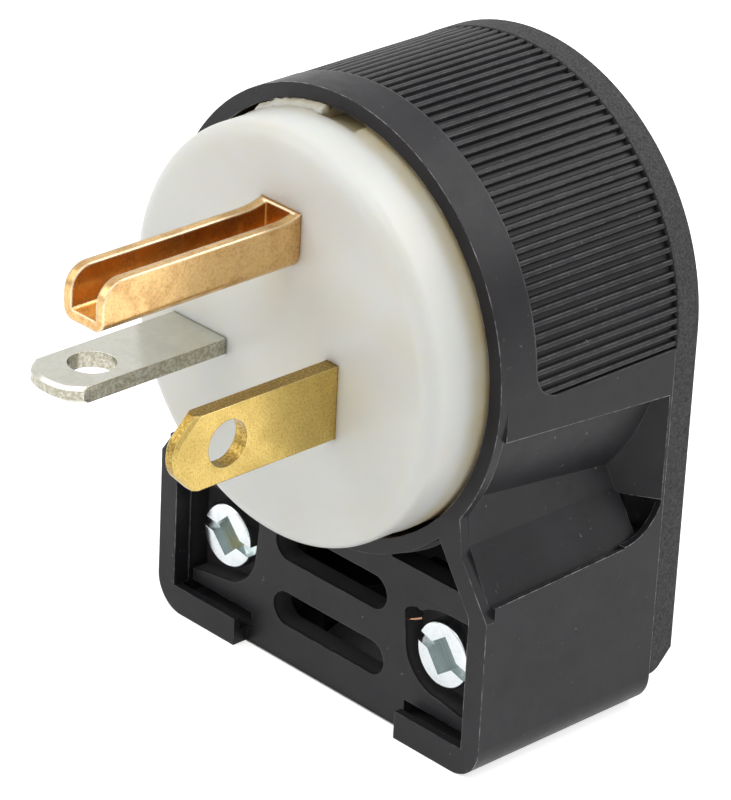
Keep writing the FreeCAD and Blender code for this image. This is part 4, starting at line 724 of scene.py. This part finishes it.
bmesh.ops.recalc_face_normals(flash_shape, faces=flash_shape.faces)
for vert in flash_shape.verts:
    across = Vector((vert.co.x, 0, vert.co.z - AXIS_Z))
    turn = math.atan2(across.x, across.z)
    share = (turn - FLASH_FROM) / (FLASH_TO - FLASH_FROM)
    thin = min(1, 0.55 + share) * min(1, share * 9)
    ragged = noise.noise(vert.co / COARSE_RAG) + 0.6 * noise.noise(vert.co / FINE_RAG)
    radius = FLASH_ROOT + (across.length - FLASH_ROOT) * thin
    if radius > FLASH_ROOT + 0.1 * MM:
        radius += RAGGED_OUT * ragged
        vert.co.y += RAGGED_ALONG * noise.noise(vert.co / MIDDLE_RAG + Vector((5, 0, 0)))
    vert.co.x, vert.co.z = math.sin(turn) * radius, AXIS_Z + math.cos(turn) * radius
flash = new_piece("mouth_flash", flash_shape)
flash_nylon = white_nylon(
    "yellowed_nylon_flash", clean="#DCD7C8", yellowed="#CDB888",
    turning_y=MOUTH_Y - 0.9 * MM, tan_y=MOUTH_Y + 0.2 * MM)
finish_piece(flash, flash_nylon)

# %% [markdown]
# The blades are copies of their CAD solids. In the photo their tips end a little sooner, and the
# walls of the ground pin reach a little lower, so those points of the copies are moved. The pin is
# first split at the face, so that its root stays in its slot. The rest, with the holes and the
# folds, stays as it is in the CAD. Lengths are in millimetres.

# %% Blades
PIN_FLOOR_DEPTH = 1.2 * MM


def blade(name, node, material, tip_from, shorter, deeper=0.0):
    """A copy of a blade whose points in front of tip_from move back, and whose floor moves down."""
    shape = copy_of(node)
    if deeper:
        bmesh.ops.bisect_plane(shape, geom=shape.verts[:] + shape.edges[:] + shape.faces[:],
                               plane_co=(0, FACE_Y - 0.05 * MM, 0), plane_no=(0, 1, 0))
        outside = [vert for vert in shape.verts if vert.co.y < FACE_Y]
        floor_top = min(vert.co.z for vert in outside) + PIN_FLOOR_DEPTH
        low = [vert for vert in outside if vert.co.z < floor_top]
        bmesh.ops.translate(shape, verts=low, vec=(0, 0, -deeper * MM))
    tip = [vert for vert in shape.verts if vert.co.y < tip_from * MM]
    bmesh.ops.translate(shape, verts=tip, vec=(0, shorter * MM, 0))
    finish_piece(new_piece(name, shape), material, node)


blade("vertical_blade", "hot_blade", yellow_brass, tip_from=-31.0, shorter=0.6)
blade("horizontal_blade", "neutral_blade", nickel, tip_from=-30.5, shorter=0.0)
blade("channel_pin", "ground_pin", golden_brass, tip_from=-34.0, shorter=0.65, deeper=0.3)

# %% [markdown]
# The two screws that hold the cover have flat heads with a slot right across and a square socket
# in the middle, whose corners lie near the slot. The head and shank are turned, the head's rim is
# bevelled, and the driver's shapes are cut one after another. Each cut is a width, a height and a
# depth in millimetres, and a turn from the slot in degrees. The screws' own angles differ, because
# a fitter stops where each one is tight.

# %% Cover screws
SCREW_HEAD_RADIUS = 2.92 * MM
SCREW_SHANK_RADIUS = 1.75 * MM
SCREW_HEAD_HEIGHT = 1.9 * MM
SCREW_RIM = 0.3 * MM
SCREW_STEPS = 72
DRIVER_CUTS = ((7.0, 0.95, 0.85, 0), (2.7, 2.7, 1.5, 52))


def cover_screw(name, node, slot_angle):
    """A turned screw in the place of its CAD node, with its slot at the given angle."""
    low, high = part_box(node)
    x, z, top = (low.x + high.x) / 2, (low.z + high.z) / 2, low.y
    under = top + SCREW_HEAD_HEIGHT
    shape = turned([
        (0, top),
        (SCREW_HEAD_RADIUS, top),
        (SCREW_HEAD_RADIUS, under),
        (SCREW_SHANK_RADIUS, under),
        (SCREW_SHANK_RADIUS, high.y),
        (0, high.y),
    ], x, z, SCREW_STEPS)
    rim = front_rim(shape, top, x, z, 0.9 * SCREW_HEAD_RADIUS)
    bmesh.ops.bevel(shape, geom=rim, offset=SCREW_RIM, offset_type="OFFSET", affect="EDGES",
                    segments=4, profile=0.5, material=-1)
    piece = new_piece(name, shape)
    on_head = Matrix.Translation((x, top, z)) @ Matrix.Rotation(math.pi / 2, 4, "X")
    for width, height, depth, extra_turn in DRIVER_CUTS:
        size = Vector((width, height, 2 * depth)) * MM
        turn = Matrix.Rotation(math.radians(slot_angle + extra_turn), 4, "Z")
        combine(piece, block(size, on_head @ turn), "DIFFERENCE")
    finish_piece(piece, bright_screw, node)


cover_screw("left_cover_screw", "left_clamp_screw", slot_angle=-9)
cover_screw("right_cover_screw", "right_clamp_screw", slot_angle=-16)

# %% [markdown]
# The inner upper corner of the right pocket isn't sharp: the moulding left a thin web of nylon in
# it, with an uneven lower edge. It is one flat face along that edge, extruded to a thin plate
# that joins the pocket's walls.

# %% Web in the pocket's corner
WEB_FRONT_Y = MOUTH_Y + 1.545 * MM
WEB_THICKNESS = 0.5 * MM
WEB_OUTLINE = (
    (8.62, 12.80), (13.8, 12.80), (13.7, 12.62), (12.6, 12.50), (11.9, 12.32), (11.3, 12.06),
    (10.9, 11.78), (10.5, 11.70), (10.2, 11.82), (9.94, 11.74), (9.60, 11.66), (9.37, 11.50),
    (9.05, 11.32), (8.80, 10.90), (8.62, 10.80),
)
web_shape = bmesh.new()
corners = [web_shape.verts.new((x * MM, WEB_FRONT_Y, z * MM)) for x, z in WEB_OUTLINE]
outline = web_shape.faces.new(corners)
grown = bmesh.ops.extrude_face_region(web_shape, geom=[outline])
back = [item for item in grown["geom"] if isinstance(item, bmesh.types.BMVert)]
bmesh.ops.translate(web_shape, verts=back, vec=(0, WEB_THICKNESS, 0))
bmesh.ops.recalc_face_normals(web_shape, faces=web_shape.faces)
finish_piece(new_piece("pocket_web", web_shape), web_nylon)

# %% [markdown]
# A short strand of copper wire is caught in the inner upper corner of the right pocket. A curve
# with a round bevel gives a thin bent tube without any faces worked out by hand, and one end sits in
# the pocket's wall.

# %% Copper strand
STRAND_RADIUS = 0.12 * MM
STRAND_POINTS = ((8.50, -8.90, 9.80), (9.10, -8.98, 10.16), (9.80, -8.96, 10.42), (10.60, -9.04, 10.90))
strand_line = bpy.data.curves.new("copper_strand", "CURVE")
strand_line.dimensions = "3D"
strand_line.bevel_depth = STRAND_RADIUS
strand_line.bevel_resolution = 3
strand_line.use_fill_caps = True
run = strand_line.splines.new("NURBS")
run.points.add(len(STRAND_POINTS) - 1)
for point, place in zip(run.points, STRAND_POINTS):
    point.co = (*(Vector(place) * MM), 1)
run.order_u = 3
run.use_endpoint_u = True
strand_line.materials.append(copper)
strand = bpy.data.objects.new("copper_strand", strand_line)
bpy.context.scene.collection.objects.link(strand)
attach(strand, "root")
print("strand of", len(STRAND_POINTS), "points")
